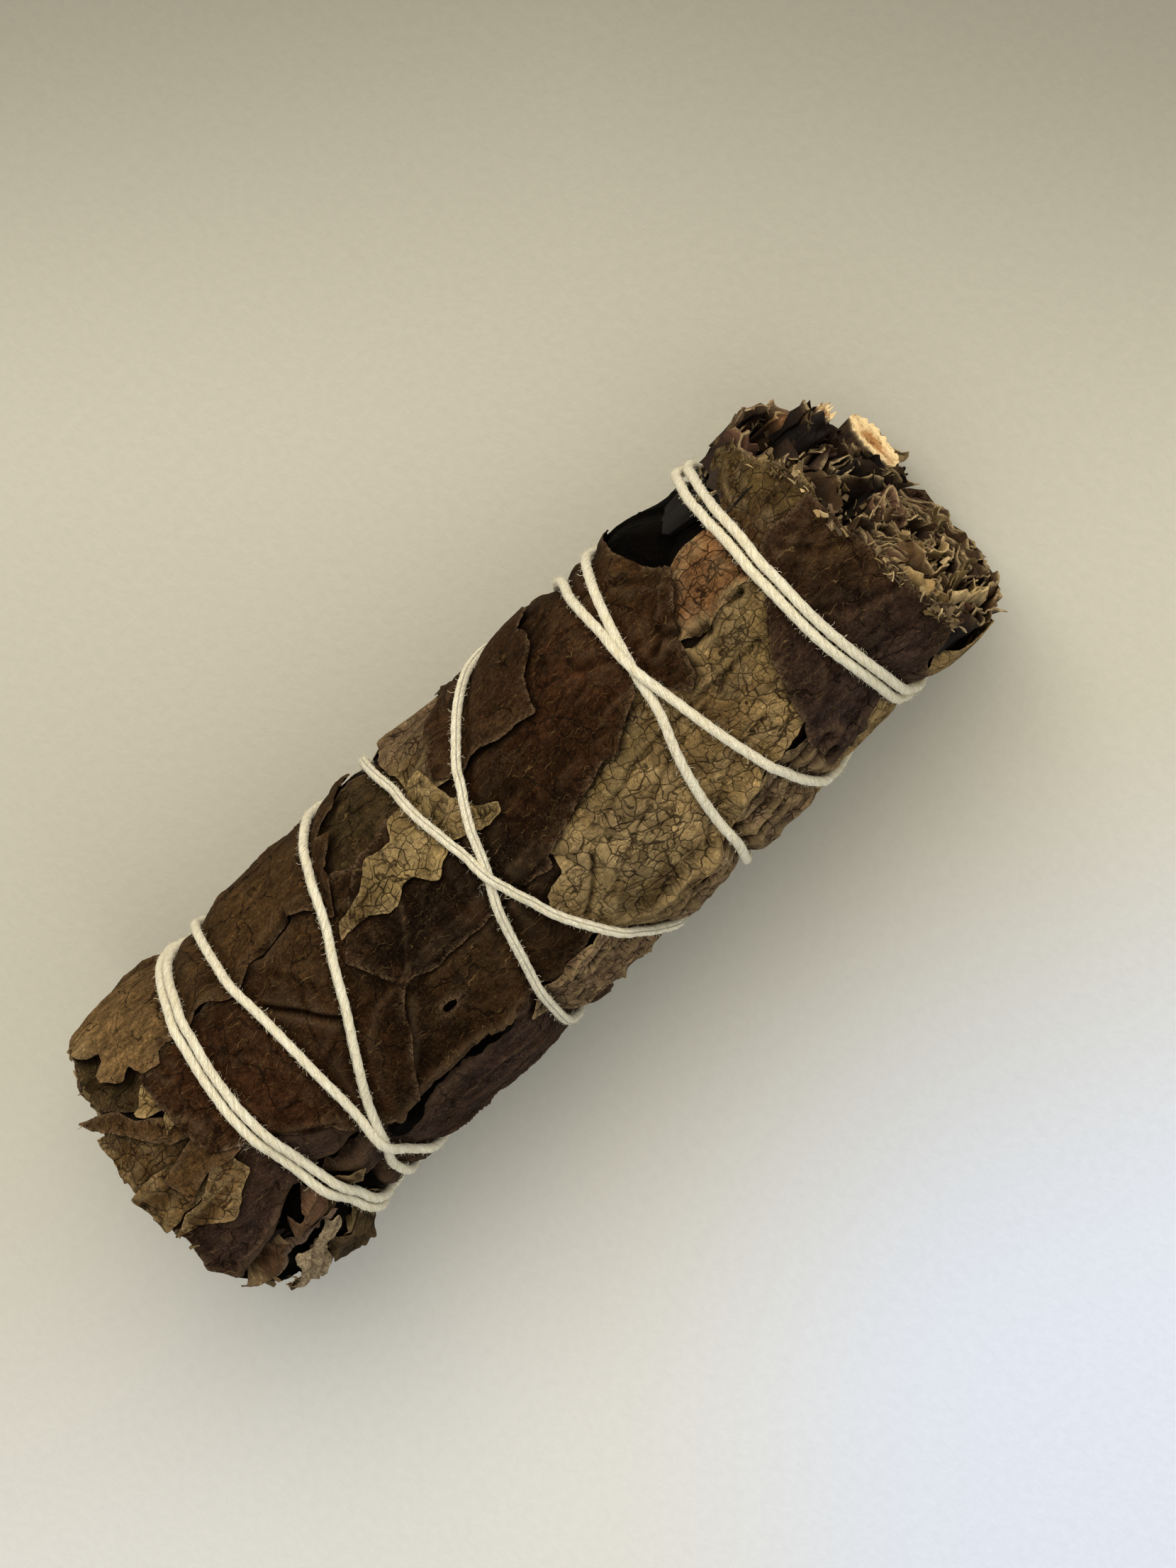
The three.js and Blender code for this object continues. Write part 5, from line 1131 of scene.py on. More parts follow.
def net_leaf_material():
    """The underside of a dried leaf: pale and fibrous, cracked into a net of small flat fields."""
    look = Look("dried_leaf_net", roughness=0.8, specular=0.03)
    place = look.attribute("leaf_place", "Vector")
    dye = look.attribute("dye", "Color")
    bent = look.swayed(look.swayed(place, 0.5, 1.3), 3.0, 0.12)
    field_edge = look.cell_edge(bent, FIELD_SCALE)
    crack_width = look.eased(look.noise(place, 1.3, 2.0), 0.35, 0.65, 0.028, 0.058)
    line = look.highest(
        look.product(look.lines(field_edge, crack_width), look.patches(place, 0.5, 0.28, 0.4)),
        look.veins(bent, 1.25, 0.08, place, 0.7, 0.46, 0.54, 0.65),
        look.veins(bent, 2.3, 0.12, place, 0.6, 0.52, 0.62, 0.3),
        look.veins(look.turned(bent, 0.62, (6.25, 2.0, 1.0)), 1.0, 0.045, place, 0.25, 0.4, 0.55),
        look.strokes(place, 0.7, 1.3, 0.16, 0.69, 0.77, 0.5),
        look.strokes(place, -0.9, 0.9, 0.16, 0.71, 0.79, 0.4))
    clouds = look.noise(place, 0.3, 6.0, 0.7)
    blots = look.noise(bent, 1.2, 3.0, 0.7)
    grain = look.noise(place, 3.4, 5.0, 0.8)
    field_colour = look.add("ShaderNodeTexVoronoi", {"Vector": bent, "Scale": FIELD_SCALE}, output="Color")
    shade = look.product(
        look.ramp(clouds, 0.3, 0.7, 0.58, 1.36),
        look.eased(blots, 0.44, 0.56, 0.93, 1.07),
        look.ramp(grain, 0.32, 0.68, 0.66, 1.34),
        look.ramp(look.parts(field_colour)[0], 0.0, 1.0, 0.76, 1.26))
    tone = look.longer(dye, shade)
    browned = look.mixed(look.patches(place, 0.26, 0.47, 0.58, 0.45), tone, look.longer(BROWN, shade))
    grey = look.longer(look.mixed(0.3, dye, GREY_TAN), shade)
    greyed = look.mixed(look.patches(bent, 0.4, 0.48, 0.6, 0.4), browned, grey)
    # Pale strokes, partly torn fibres and partly painted highlights beside the cracks, mixed in as a
    # brightened copy of the colour
    pale = look.highest(look.strokes(place, 0.25, 1.2, 0.3, 0.58, 0.74, 0.7),
                        look.strokes(bent, -0.8, 0.8, 0.18, 0.64, 0.76, 0.6))
    lit = look.mixed(pale, greyed, look.longer(greyed, 2.1))
    lined = look.mixed(look.product(line, 0.88), lit, NEAR_BLACK)
    # The finish paints shade into hollows and beside overlapping leaves, and highlights on ridges and rims
    return look.finish(
        look.with_painted_light(lined, place, grain, PALE_TAN, 0.5),
        (look.noise(place, 0.6, 2.0, 0.5), 0.12), (look.eased(field_edge, 0.0, 0.3), 0.09),
        (look.product(line, -1.0), 0.06), (grain, 0.05))


SMOOTH_LEAF = smooth_leaf_material()
NET_LEAF = net_leaf_material()

for order, leaf in enumerate(LEAVES):
    finish = NET_LEAF if leaf.get("face") == "net" else SMOOTH_LEAF
    node = leaf.get("node", leaf["name"])
    add_piece("dried_" + leaf["name"], leaf_mesh(leaf, order), finish, node)


# Trees of nodes that shape a piece


class ShapeTree(NodeTree):
    """A tree that turns one piece's plain mesh into its finished one."""

    def __init__(self, name, sizes):
        super().__init__(bpy.data.node_groups.new(name, "GeometryNodeTree"))
        face = self.tree.interface
        face.new_socket("Geometry", in_out="INPUT", socket_type="NodeSocketGeometry")
        for label in sizes:
            face.new_socket(label, in_out="INPUT", socket_type="NodeSocketFloat")
        face.new_socket("Material", in_out="INPUT", socket_type="NodeSocketMaterial")
        face.new_socket("Geometry", in_out="OUTPUT", socket_type="NodeSocketGeometry")
        self.given = self.tree.nodes.new("NodeGroupInput").outputs

    def captured(self, geometry, **values):
        """The geometry, with values kept as they are here, to be read after its shape has changed."""
        kept = self.tree.nodes.new("GeometryNodeCaptureAttribute")
        self.plug(geometry, kept.inputs["Geometry"])
        for name, (kind, value) in values.items():
            kept.capture_items.new(kind, name)
            self.plug(value, kept.inputs[name])
        return kept.outputs

    def on_points(self, points, shape, seed):
        """The shape on each point, as long as the point's `lean` and turned along it."""
        lean = self.add("GeometryNodeInputNamedAttribute", {"Name": "lean"}, data_type="FLOAT_VECTOR")
        length = self.add("ShaderNodeVectorMath", {0: lean}, output="Value", operation="LENGTH")
        aim = self.add("FunctionNodeAlignRotationToVector", {"Vector": lean}, axis="Z")
        spin = self.add("FunctionNodeRandomValue", {2: 0.0, 3: 2 * math.pi, "Seed": seed}, output=1)
        spun = self.add("FunctionNodeAxisAngleToRotation", {"Axis": (0, 0, 1), "Angle": spin})
        turned = self.add("FunctionNodeRotateRotation", {"Rotation": aim, "Rotate By": spun},
                          rotation_space="LOCAL")
        return self.add("GeometryNodeInstanceOnPoints", {
            "Points": points, "Instance": shape, "Rotation": turned,
            "Scale": self.joined(length, length, length)})

    def finish(self, shape):
        real = self.add("GeometryNodeRealizeInstances", {0: shape})
        covered = self.add("GeometryNodeSetMaterial", {"Geometry": real, "Material": self.given["Material"]})
        self.plug(covered, self.tree.nodes.new("NodeGroupOutput").inputs[0])

    def shaped(self, mesh, material, sizes):
        """The mesh that this tree makes of a plain one."""
        carrier = in_scene("carrier", mesh)
        modifier = carrier.modifiers.new("shape", "NODES")
        modifier.node_group = self.tree
        given = {**sizes, "Material": material}
        for item in self.tree.interface.items_tree:
            if item.name in given:
                modifier[item.identifier] = given[item.name]
        seen = carrier.evaluated_get(bpy.context.evaluated_depsgraph_get())
        made = bpy.data.meshes.new_from_object(seen)
        carrier.modifiers.remove(modifier)
        bpy.data.objects.remove(carrier)
        return made


def line_mesh(name, lines):
    """A mesh of bare edges: one chain for each (points, closed) in millimetres from the axis."""
    points = []
    edges = []
    for line, closed in lines:
        first = len(points)
        points.extend(((np.asarray(line) + AXIS_PLACE) * MM).tolist())
        edges.extend((first + k, first + k + 1) for k in range(len(line) - 1))
        if closed:
            edges.append((len(points) - 1, first))
    mesh = bpy.data.meshes.new(name)
    mesh.from_pydata(points, edges, [])
    return mesh


# The string

BED_PASSES = 2
BED_EVENED = 6
RISE_EVENED = 4
TAIL_EVENED = 3
# How often the string swells and thins, in waves to the metre
COTTON_UNEVEN = 400.0


def bridged(heights, passes):
    """Each height raised to the highest of its neighbours, several times."""
    for _ in range(passes):
        rows = np.pad(heights, ((1, 1), (0, 0)), mode="edge")
        heights = np.maximum(np.maximum(rows[:-2], rows[2:]), heights)
        heights = np.maximum(np.maximum(np.roll(heights, 1, 1), np.roll(heights, -1, 1)), heights)
    return heights


def height_at(heights, s, phi):
    """A height between the height lines."""
    u = np.clip((np.asarray(s, float) - GRID_FROM) / GRID_STEP, 0, GRID_ROWS - 1.01)
    v = (np.asarray(phi, float) % 360) / DEGREES_PER_COLUMN
    i, j = np.floor(u).astype(int), np.floor(v).astype(int) % GRID_COLUMNS
    f, g = u - i, v - np.floor(v)
    k = (j + 1) % GRID_COLUMNS
    near = heights[i, j] * (1 - f) + heights[i + 1, j] * f
    far = heights[i, k] * (1 - f) + heights[i + 1, k] * f
    return near * (1 - g) + far * g


def evened(values, passes):
    """Each value averaged with its two neighbours in a row, several times."""
    for _ in range(passes):
        padded = np.pad(values, 1, mode="edge")
        values = (padded[:-2] + 2 * padded[1:-1] + padded[2:]) / 4
    return values


def knot_lift(s, phi):
    away = np.hypot((np.asarray(phi) % 360 - KNOT_PHI) * MM_PER_DEGREE, s - KNOT_S)
    return KNOT_RISE * np.exp(-((away / KNOT_SPREAD) ** 2))


STRING_BED = bridged(surface, BED_PASSES)


def above_bed(s, phi, lift=0.0):
    """Points of a string that lies on the leaves, and no lower than the ground."""
    rise = height_at(STRING_BED, s, phi) + STRING_RADIUS - STRING_SINK + lift
    return above_floor(on_axis(np.asarray(s, float), np.asarray(phi, float), rise), STRING_LOWEST)


def string_rise():
    """The string's distance from the axis along its route, where it also climbs over itself."""
    bed = evened(height_at(STRING_BED, ROUTE_S, ROUTE_PHI), BED_EVENED)
    rise = bed + STRING_RADIUS - STRING_SINK + knot_lift(ROUTE_S, ROUTE_PHI)
    reach = 2 * STRING_RADIUS * STRING_BITE
    apart = int(STRING_LAP_APART / STRING_STEP)
    for i in range(apart, len(rise)):
        earlier = slice(0, i - apart)
        across = (ROUTE_PHI[i] - ROUTE_PHI[earlier] + 180) % 360 - 180
        away = np.hypot(across * MM_PER_DEGREE, ROUTE_S[i] - ROUTE_S[earlier])
        near = away < reach
        if near.any():
            over = rise[earlier][near] + np.sqrt(reach ** 2 - away[near] ** 2)
            rise[i] = max(rise[i], over.max())
    slope = STRING_HUMP_SLOPE * STRING_STEP * MM_PER_DEGREE
    for i in range(1, len(rise)):
        rise[i] = max(rise[i], rise[i - 1] - slope)
    for i in range(len(rise) - 2, -1, -1):
        rise[i] = max(rise[i], rise[i + 1] - slope)
    return evened(rise, RISE_EVENED)


def knot_lines():
    """The two loops of the knot and the two cut ends of the string beyond it."""
    centre = above_bed([KNOT_S], [KNOT_PHI], KNOT_RISE)[0]
    angle = np.radians(np.arange(0, 360, KNOT_LOOP_STEP))
    ring = np.stack([np.cos(angle), np.sin(angle), 0 * angle], 1) * KNOT_LOOP
    outwards = Matrix.Rotation(math.radians(90 - KNOT_PHI), 3, "X")
    lines = []
    for loop_turn in KNOT_LOOP_TURNS:
        turned = outwards @ Matrix.Rotation(math.radians(loop_turn), 3, "Y")
        lines.append((ring @ np.array(turned).T + centre, True))
    for tail in KNOT_TAILS:
        fine = np.linspace(0, len(tail) - 1, KNOT_TAIL_POINTS)
        given = np.arange(len(tail))
        phi, s, lift = (evened(np.interp(fine, given, values), TAIL_EVENED) for values in zip(*tail))
        lines.append((above_bed(s, phi, lift), False))
    return lines


def twisted_cotton():
    """A string of several plies along each line of the given mesh."""
    shape = ShapeTree("twisted_cotton", ("Radius", "Step", "Sides", "Plies", "Ply Depth", "Ply Pitch"))
    given = shape.given
    line = shape.add("GeometryNodeMeshToCurve", {"Mesh": given["Geometry"]})
    line = shape.add("GeometryNodeResampleCurve", {"Curve": line, "Length": given["Step"]}, mode="LENGTH")
    kept = shape.captured(
        line, along=("FLOAT", shape.add("GeometryNodeSplineParameter", output="Length")),
        middle=("VECTOR", shape.add("GeometryNodeInputPosition")))
    round_line = shape.add("GeometryNodeCurvePrimitiveCircle", {
        "Resolution": shape.add("FunctionNodeFloatToInt", {0: given["Sides"]}), "Radius": given["Radius"]})
    ring = shape.captured(round_line, around=("FLOAT", shape.add("GeometryNodeSplineParameter")))
    tube = shape.add("GeometryNodeCurveToMesh", {
        "Curve": kept["Geometry"], "Profile Curve": ring["Geometry"], "Fill Caps": True})
    twisted = shape.math("SUBTRACT", ring["around"], shape.math("DIVIDE", kept["along"], given["Ply Pitch"]))
    half_turns = shape.product(twisted, given["Plies"], math.pi)
    ridge = shape.math("ABSOLUTE", shape.math("COSINE", half_turns))
    uneven = shape.add("ShaderNodeTexNoise", {"W": shape.product(kept["along"], COTTON_UNEVEN)},
                       noise_dimensions="1D")
    swell = shape.product(shape.math("SUBTRACT", uneven, 0.5), given["Ply Depth"])
    inwards = shape.product(shape.math("SUBTRACT", ridge, 1.0), given["Ply Depth"])
    out = shape.vector("SUBTRACT", shape.add("GeometryNodeInputPosition"), kept["middle"])
    out = shape.add("ShaderNodeVectorMath", {0: out}, operation="NORMALIZE")
    push = shape.longer(out, shape.math("ADD", inwards, swell))
    soft = shape.add("GeometryNodeSetPosition", {"Geometry": tube, "Offset": push})
    lay = shape.joined(kept["along"], twisted, ridge)
    named = shape.add("GeometryNodeStoreNamedAttribute", {"Geometry": soft, "Name": "lay", "Value": lay},
                      data_type="FLOAT_VECTOR", domain="POINT")
    shape.finish(shape.add("GeometryNodeSetShadeSmooth", {"Geometry": named}))
    return shape


def cotton_material():
    """Soft undyed cotton: matt, with fine slanting fibres and painted shade in the grooves between its plies.
    """
    look = Look("cotton", roughness=0.95, specular=0.1)
    along, around, ridge = look.parts(look.attribute("lay", "Vector"))
    place = look.object_place()
    fibres = look.noise(look.joined(look.product(along, 500.0), look.product(around, 26.0)), 1.0)
    body = look.mixed(look.eased(fibres, 0.35, 0.62), COTTON_SHADE, COTTON)
    groove_shade = look.product(look.eased(ridge, 0.0, 0.45, 1.0, 0.0), 0.14)
    lined = look.mixed(groove_shade, body, COTTON_GROOVE_SHADE)
    flecks = look.noise(place, 2600.0, 3.0, 0.7)
    flecked = look.mixed(look.eased(flecks, 0.56, 0.7, 0.0, 0.45), lined, COTTON_FLECK)
    soiled = look.mixed(look.patches(place, 90.0, 0.5, 0.75, 0.3), flecked, COTTON_SOILED)
    look.plug(0.25, look.shader["Sheen Weight"])
    return look.finish(soiled, (flecks, 0.2), (fibres, 0.2))


COTTON_YARN = cotton_material()
STRING_LINE = above_floor(on_axis(ROUTE_S, ROUTE_PHI, string_rise()), STRING_LOWEST)
string_lines = line_mesh("wound_string", [(STRING_LINE, False)] + knot_lines())
wound = twisted_cotton().shaped(string_lines, COTTON_YARN, {
    "Radius": STRING_RADIUS * MM, "Step": STRING_PIECE * MM, "Sides": float(STRING_SIDES),
    "Plies": float(PLY_COUNT), "Ply Depth": PLY_DEPTH * MM, "Ply Pitch": PLY_PITCH * MM})
add_piece("wound_string", wound, COTTON_YARN, "string")


# Loose fibres: thin bent hairs that stand on points

FIBRE_COUNT = 13000
FIBRE_LENGTHS = (0.18, 0.52)
FIBRE_ROOT = 0.08
LONG_FIBRE_SHARE = 0.05
LONG_FIBRE = 1.7
# How far round the string from its outer side, in half turns, and how far the fibres lean which way
FIBRE_ROUND = 0.75
FIBRE_OUTWARDS = (0.3, 1.1)
FIBRE_ALONG = 1.4
FIBRE_ACROSS = 0.4
HAIR_SIDES = 3
HAIR_BOW = 0.6
# Where the string has shed a little cloud of fluff: s, phi, how wide
TUFTS = [(0.2, -3, 0.9), (0.9, 3, 0.7), (-35.4, 3, 0.8), (-38.4, -12, 0.6), (17, -60, 0.5)]
TUFT_FIBRES = 14
TUFT_SPREAD = 0.45
TUFT_HEIGHTS = (0.05, 0.5)
TUFT_LENGTHS = (0.4, 1.3)


def unit(vectors):
    return vectors / np.linalg.norm(vectors, axis=1)[:, None]


def bent_hairs():
    """One bent hair on each point of the given mesh, leaning the way the point says."""
    shape = ShapeTree("bent_hairs", ("Thickness", "Bend", "Bends"))
    given = shape.given
    bent = shape.joined(given["Bend"], z=HAIR_BOW)
    curve = shape.add("GeometryNodeCurvePrimitiveBezierSegment", {
        "Resolution": shape.add("FunctionNodeFloatToInt", {0: given["Bends"]}), "Start": (0, 0, 0),
        "Start Handle": bent, "End Handle": bent, "End": (0, 0, 1)})
    ring = shape.add("GeometryNodeCurvePrimitiveCircle", {
        "Resolution": HAIR_SIDES, "Radius": given["Thickness"]})
    hair = shape.add("GeometryNodeCurveToMesh", {"Curve": curve, "Profile Curve": ring, "Fill Caps": True})
    shape.finish(shape.on_points(given["Geometry"], hair, seed=7))
    return shape


def leaning_points(name, points, leans):
    """Points in millimetres from the axis, with the way and length of what stands on each."""
    mesh = bpy.data.meshes.new(name)
    mesh.from_pydata(((points + AXIS_PLACE) * MM).tolist(), [], [])
    set_place(mesh, "lean", leans * MM)
    return mesh


def string_fibres(seed):
    """Short hairs that stand off the string all along it."""
    random = np.random.default_rng(seed)
    at = random.integers(1, len(STRING_LINE) - 1, FIBRE_COUNT)
    ahead = unit(STRING_LINE[at + 1] - STRING_LINE[at - 1])
    out = STRING_LINE[at] * (0, 1, 1)
    out = unit(out - ahead * (out * ahead).sum(1)[:, None])
    across = np.cross(ahead, out)
    angle = random.uniform(-FIBRE_ROUND, FIBRE_ROUND, FIBRE_COUNT) * math.pi
    facing_out = out * np.cos(angle)[:, None] + across * np.sin(angle)[:, None]
    sway = random.uniform(-1, 1, (FIBRE_COUNT, 2))
    leans = facing_out * random.uniform(*FIBRE_OUTWARDS, FIBRE_COUNT)[:, None]
    leans = leans + ahead * sway[:, :1] * FIBRE_ALONG
    leans = unit(leans + across * sway[:, 1:] * FIBRE_ACROSS)
    length = random.uniform(*FIBRE_LENGTHS, FIBRE_COUNT)
    length = length * np.where(random.random(FIBRE_COUNT) < LONG_FIBRE_SHARE, LONG_FIBRE, 1)
    points = STRING_LINE[at] + facing_out * (STRING_RADIUS - FIBRE_ROOT)
    leans = leans * length[:, None]
    above = (points + leans)[:, 2] > -LEAF_LOWEST
    return points[above], leans[above]


def tuft_fibres(seed):
    """Little clouds of fluff where the string has shed."""
    random = np.random.default_rng(seed)
    points, leans = [], []
    for s, phi, spread in TUFTS:
        off = random.normal(0, TUFT_SPREAD, (TUFT_FIBRES, 2)) * spread
        near_s = s + off[:, 0]
        near_phi = phi + off[:, 1] / MM_PER_DEGREE
        rise = height_at(surface, near_s, near_phi) + random.uniform(*TUFT_HEIGHTS, TUFT_FIBRES) * spread
        points.append(on_axis(near_s, near_phi, rise))
        lean = unit(random.normal(0, 1, (TUFT_FIBRES, 3)))
        leans.append(lean * random.uniform(*TUFT_LENGTHS, (TUFT_FIBRES, 1)))
    return np.concatenate(points), np.concatenate(leans)


HAIRS = bent_hairs()
for name, feet_and_leans, sizes in (
        ("string_fibres", string_fibres(seed=41), {"Thickness": 0.026, "Bend": 0.25, "Bends": 2.0}),
        ("shed_fluff", tuft_fibres(seed=43), {"Thickness": 0.006, "Bend": 0.6, "Bends": 5.0})):
    hairs = HAIRS.shaped(leaning_points(name, *feet_and_leans), COTTON_YARN, sizes)
    add_piece(name, hairs, COTTON_YARN, "string")


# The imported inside

LEAF_END_TIP = 50.2
STALK_END_TIP = 48.6
STALK_END_SLOPE = 0.2
END_RECESS = 4.4
CORE_STEP = 0.9
CORE_COLUMN_STEP = 3
CORE_SINK = 0.12
WRAPPING_FROM = 47.0
WRAPPING_ROOM = 0.35
SHEET_THICKNESS = 0.17
SHEET_SPACING = 0.45
SHEET_DEPTHS = np.array([0, 0.3, 0.8, 1.7, 3.0, 5.0])
SHEET_DYES = [NEAR_BLACK, NEAR_BLACK, CHOCOLATE, CHOCOLATE, CHOCOLATE, BROWN, PURPLE_BROWN, RED_BROWN]
LIGHT_SHEET_DYES = [CHOCOLATE, CHOCOLATE, BROWN, BROWN, WARM_BROWN, DULL_OLIVE, PURPLE_BROWN, FADED_ROSE]
DARK_SIDE_FROM = 1.5
STANDING_RAGGED = 1.8
TIP_STRAYS = (-0.2, 0.5)
CLUMP_SEED = 900
DRAWN_SEED = 70
OPENED_DEPTH = 2.5
RIM_DEPTH = 0.16
RIM_SIZE = 1.2
# Where the noise along a rim is below this, the rim isn't pale, and how soft that limit is
RIM_BARE_DARK_SIDE = -0.1
RIM_BARE_LIGHT_SIDE = -0.6
RIM_BARE_SOFT = 0.7
# Painted shade among the packed leaves: how deep in the end it starts, and how deep it is full
SHADE_FROM_DEPTH = 0.2
SHADE_TO_DEPTH = 2.6
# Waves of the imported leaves, as (height, size)
SHEET_RAGGED = [(0.25, 1.7), (0.3, 0.7)]
SHEET_CLUMPS = [(0.9, 4.2), (0.3, 1.6)]
SHEET_BENDS = [(0.6, 1.9), (0.5, 0.8)]
ROLL_WAVES = [(0.7, 3.4), (0.35, 1.1)]
ROLL_SLIP = [(0.6, 1.4)]
SCROLL_WAVES = [(0.25, 1.1)]
WRAP_WAVES = [(0.25, 1.4)]
DRAWN_WAVES = [(0.3, 1.3)]
# Rolled leaves: the share of the end face that they lie within, the stretch of phi that one covers, how many
# times that in the middle and how much less at the rim, and how far its end runs inwards
ROLL_AREAS = (0.02, 0.98)
ROLL_SPANS = (40, 110)
ROLL_MORE = (1.6, 0.9)
ROLL_INWARDS = (-1.5, 3)
ROLL_LEAST_POINTS = 12
ROLL_LEAST_RADIUS = 0.4
ROLL_SLIP_RADIUS = 2.0
# Leaves rolled up on themselves: how far off the middle, how wide, how many turns, how flat, how much tighter
# at the end, and how many points to each millimetre of width
SCROLL_PLACES = (3, 10.5)
SCROLL_SIZES = (1.0, 2.4)
SCROLL_TURNS = (1.2, 2.2)
SCROLL_FLATNESS = (0.6, 1.0)
SCROLL_TIGHTENING = 0.6
SCROLL_POINTS = 26
NEAREST_TO_AXIS = 0.1
# Leaves pressed round a stalk: its middle (y, z), its half sizes, how far they stand out, how many
STALK_WRAPS = [((5.1, -7.0), (3.3, 1.25), 3.5, 22), ((10.3, -3.2), (1.0, 0.9), 4.2, 8)]
# How far round the stalk one goes in radians, how far off it lies, how many points it has, and how many
# millimetres of waves go to the radian
WRAP_REACH = (1.0, 2.6)
WRAP_OFF = (0.1, 1.0)
WRAP_POINTS = 24
WRAP_WAVE_RUN = 3
# The mound of leaves round the wide stalk: y, z, half width, half height, how far it stands out
STALK_RISE = (5.0, -5.6, 6.0, 4.0, 3.0)
# Hollows among the imported leaves at the stalk end, dark with painted shade: y, z, half width, half height,
# how deep. One starts where how_near is the first of these, and is full where it is the second
HOLLOW_SIDES = (1.4, 0.7)
HOLLOWS = [
    (2.2, 3, 2.4, 5.6, 5.4), (-7, 2.6, 1.5, 2.6, 4.0), (-9, -2, 1.6, 1.8, 3.5), (6.4, 7, 1.6, 2.8, 4.0),
    (12.2, 3, 2.0, 6.5, 5.5), (-4, -6.4, 1.6, 1.6, 3.0), (-12, 1.5, 1.0, 2.5, 3.0),
]
# A drawn rim has points this share of the usual distance apart, evened this often, and its waves are taken
# this many times as far apart as it is from its neighbours
DRAWN_FINER = 0.7
DRAWN_EVENED = 4
DRAWN_APART = 9
# Leaves seen standing out at the stalk end: points (y, z) along the rim, how far it stands out, colour
STANDING_LEAVES = [
    ([(8.6, 9.5), (8, 11), (6, 11.6), (4, 11.2), (3.6, 9), (3.8, 6), (4.5, 3.5), (6, 2.6), (7.6, 3.2)], 1.8,
     BROWN),
    ([(5.2, 8.8), (6.4, 9.6), (7.4, 8.6), (7.6, 6.4), (7, 4.4), (5.8, 4)], 0.8, OLIVE),
    ([(9.4, 12), (9.6, 9), (9.9, 6), (10, 3), (9.8, 0.5)], 2.0, CHOCOLATE),
    ([(10.2, -2.6), (11.6, -3), (13, -2.2), (13.8, -0.4)], 2.6, ROSY),
    ([(8.8, 11.4), (10.6, 10.4), (12.4, 8.6), (13.8, 6.2), (14.4, 3.6)], 1.4, DUST),
    ([(0.8, 12), (0.6, 9.5), (0.3, 7), (0.2, 4.5), (-0.3, 2), (0, -1), (0.6, -3.5)], 1.4, BROWN),
    ([(-1.6, 1), (-2, 3), (-3, 4.4), (-5, 5), (-7.4, 5), (-8.4, 3.6), (-8.5, 1)], 1.2, WARM_BROWN),
    ([(-8.6, 7.4), (-10, 7.8), (-11.4, 6), (-12, 3), (-12, 0), (-11.4, -3)], 1.0, TAN),
    ([(-10.4, 4), (-9.6, 2), (-9.4, -1), (-10.2, -3.6)], 0.8, OLIVE),
    ([(-0.8, 11.6), (-2.4, 9.6), (-4.4, 8.6), (-6.6, 8.4)], 1.1, BROWN),
    ([(-3.8, 10.2), (-5.6, 11), (-8, 11.4), (-9.6, 10.2)], 1.2, TAN),
    ([(-0.6, -1.4), (-1.8, -3.2), (-1.2, -5), (0.4, -6.2), (1.2, -8)], 1.2, WARM_BROWN),
    ([(-3, -1.2), (-4, -3.4), (-5.6, -2.2), (-6.6, -0.4), (-7.2, -2.6), (-6.6, -5)], 1.2, TAN),
    ([(-2.4, -5.2), (-3, -8), (-5.2, -9.4)], 1.0, BROWN),
    ([(-5.6, -7.6), (-4.4, -10.2), (-3.6, -12)], 1.2, OLIVE),
    ([(15.1, 4.6), (15.3, 2), (15.1, -0.6), (14.6, -2.8), (13.4, -4.4), (11.8, -4.8)], 2.2, DUST),
    ([(14.6, 5.4), (13.6, 6.4), (12.4, 6.2), (11.8, 5)], 1.2, FADED_ROSE),
    ([(3.4, -12.6), (2.6, -13), (1.9, -13.2)], 4.0, PALE_TAN),
    ([(1.2, -10.6), (0.6, -11.2), (-0.2, -11.6)], 3.4, DUST),
    ([(-12.9, 1.6), (-12.6, 4), (-11.4, 6.4), (-10.6, 8.6)], 1.7, PALE_TAN),
    ([(-8.2, 9.6), (-6, 10.8), (-3.4, 11.6), (-0.6, 12.4)], 1.4, WARM_BROWN),
    ([(0.6, 12.8), (3.4, 12.4), (6.2, 11.8), (8.2, 10.4)], 1.6, OLIVE),
]


def end_tip(end, y):
    """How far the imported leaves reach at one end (-1 or 1)."""
    return STALK_END_TIP - STALK_END_SLOPE * y if end > 0 else LEAF_END_TIP + 0 * y


def inside_limit(end, phi):
    """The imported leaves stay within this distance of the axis, under the wrapping."""
    return height_at(CORE_RADIUS, end * WRAPPING_FROM + 0 * phi, phi) - WRAPPING_ROOM


def core_mesh():
    """The dark body of pressed leaves under the wrapping."""
    count = int(2 * LEAF_END_TIP / CORE_STEP)
    phi = np.arange(0, 360, CORE_COLUMN_STEP * DEGREES_PER_COLUMN)
    columns = len(phi)
    side = RADIUS_STALK_END * np.sin(np.radians(phi))
    first = -end_tip(-1, side) + END_RECESS
    last = end_tip(1, side) - END_RECESS
    share = np.linspace(0, 1, count)[:, None]
    s = first * (1 - share) + last * share
    around = np.broadcast_to(phi, s.shape)
    radius = height_at(CORE_RADIUS + FOLD_PRESS, s, around) - CORE_SINK
    points = above_floor(on_axis(s, around, radius), LEAF_LOWEST - LEAF_THICKNESS).reshape(-1, 3)
    middle = np.array([[first.mean(), 0, 0], [last.mean(), 0, 0]])
    ring = np.arange(columns)
    faces = np.concatenate([
        grid_triangles(count, columns, closed=True), cap_triangles(ring, len(points)),
        cap_triangles(ring + (count - 1) * columns, len(points) + 1)[:, ::-1]])
    return new_mesh("packed_core", np.concatenate([points, middle]), faces)


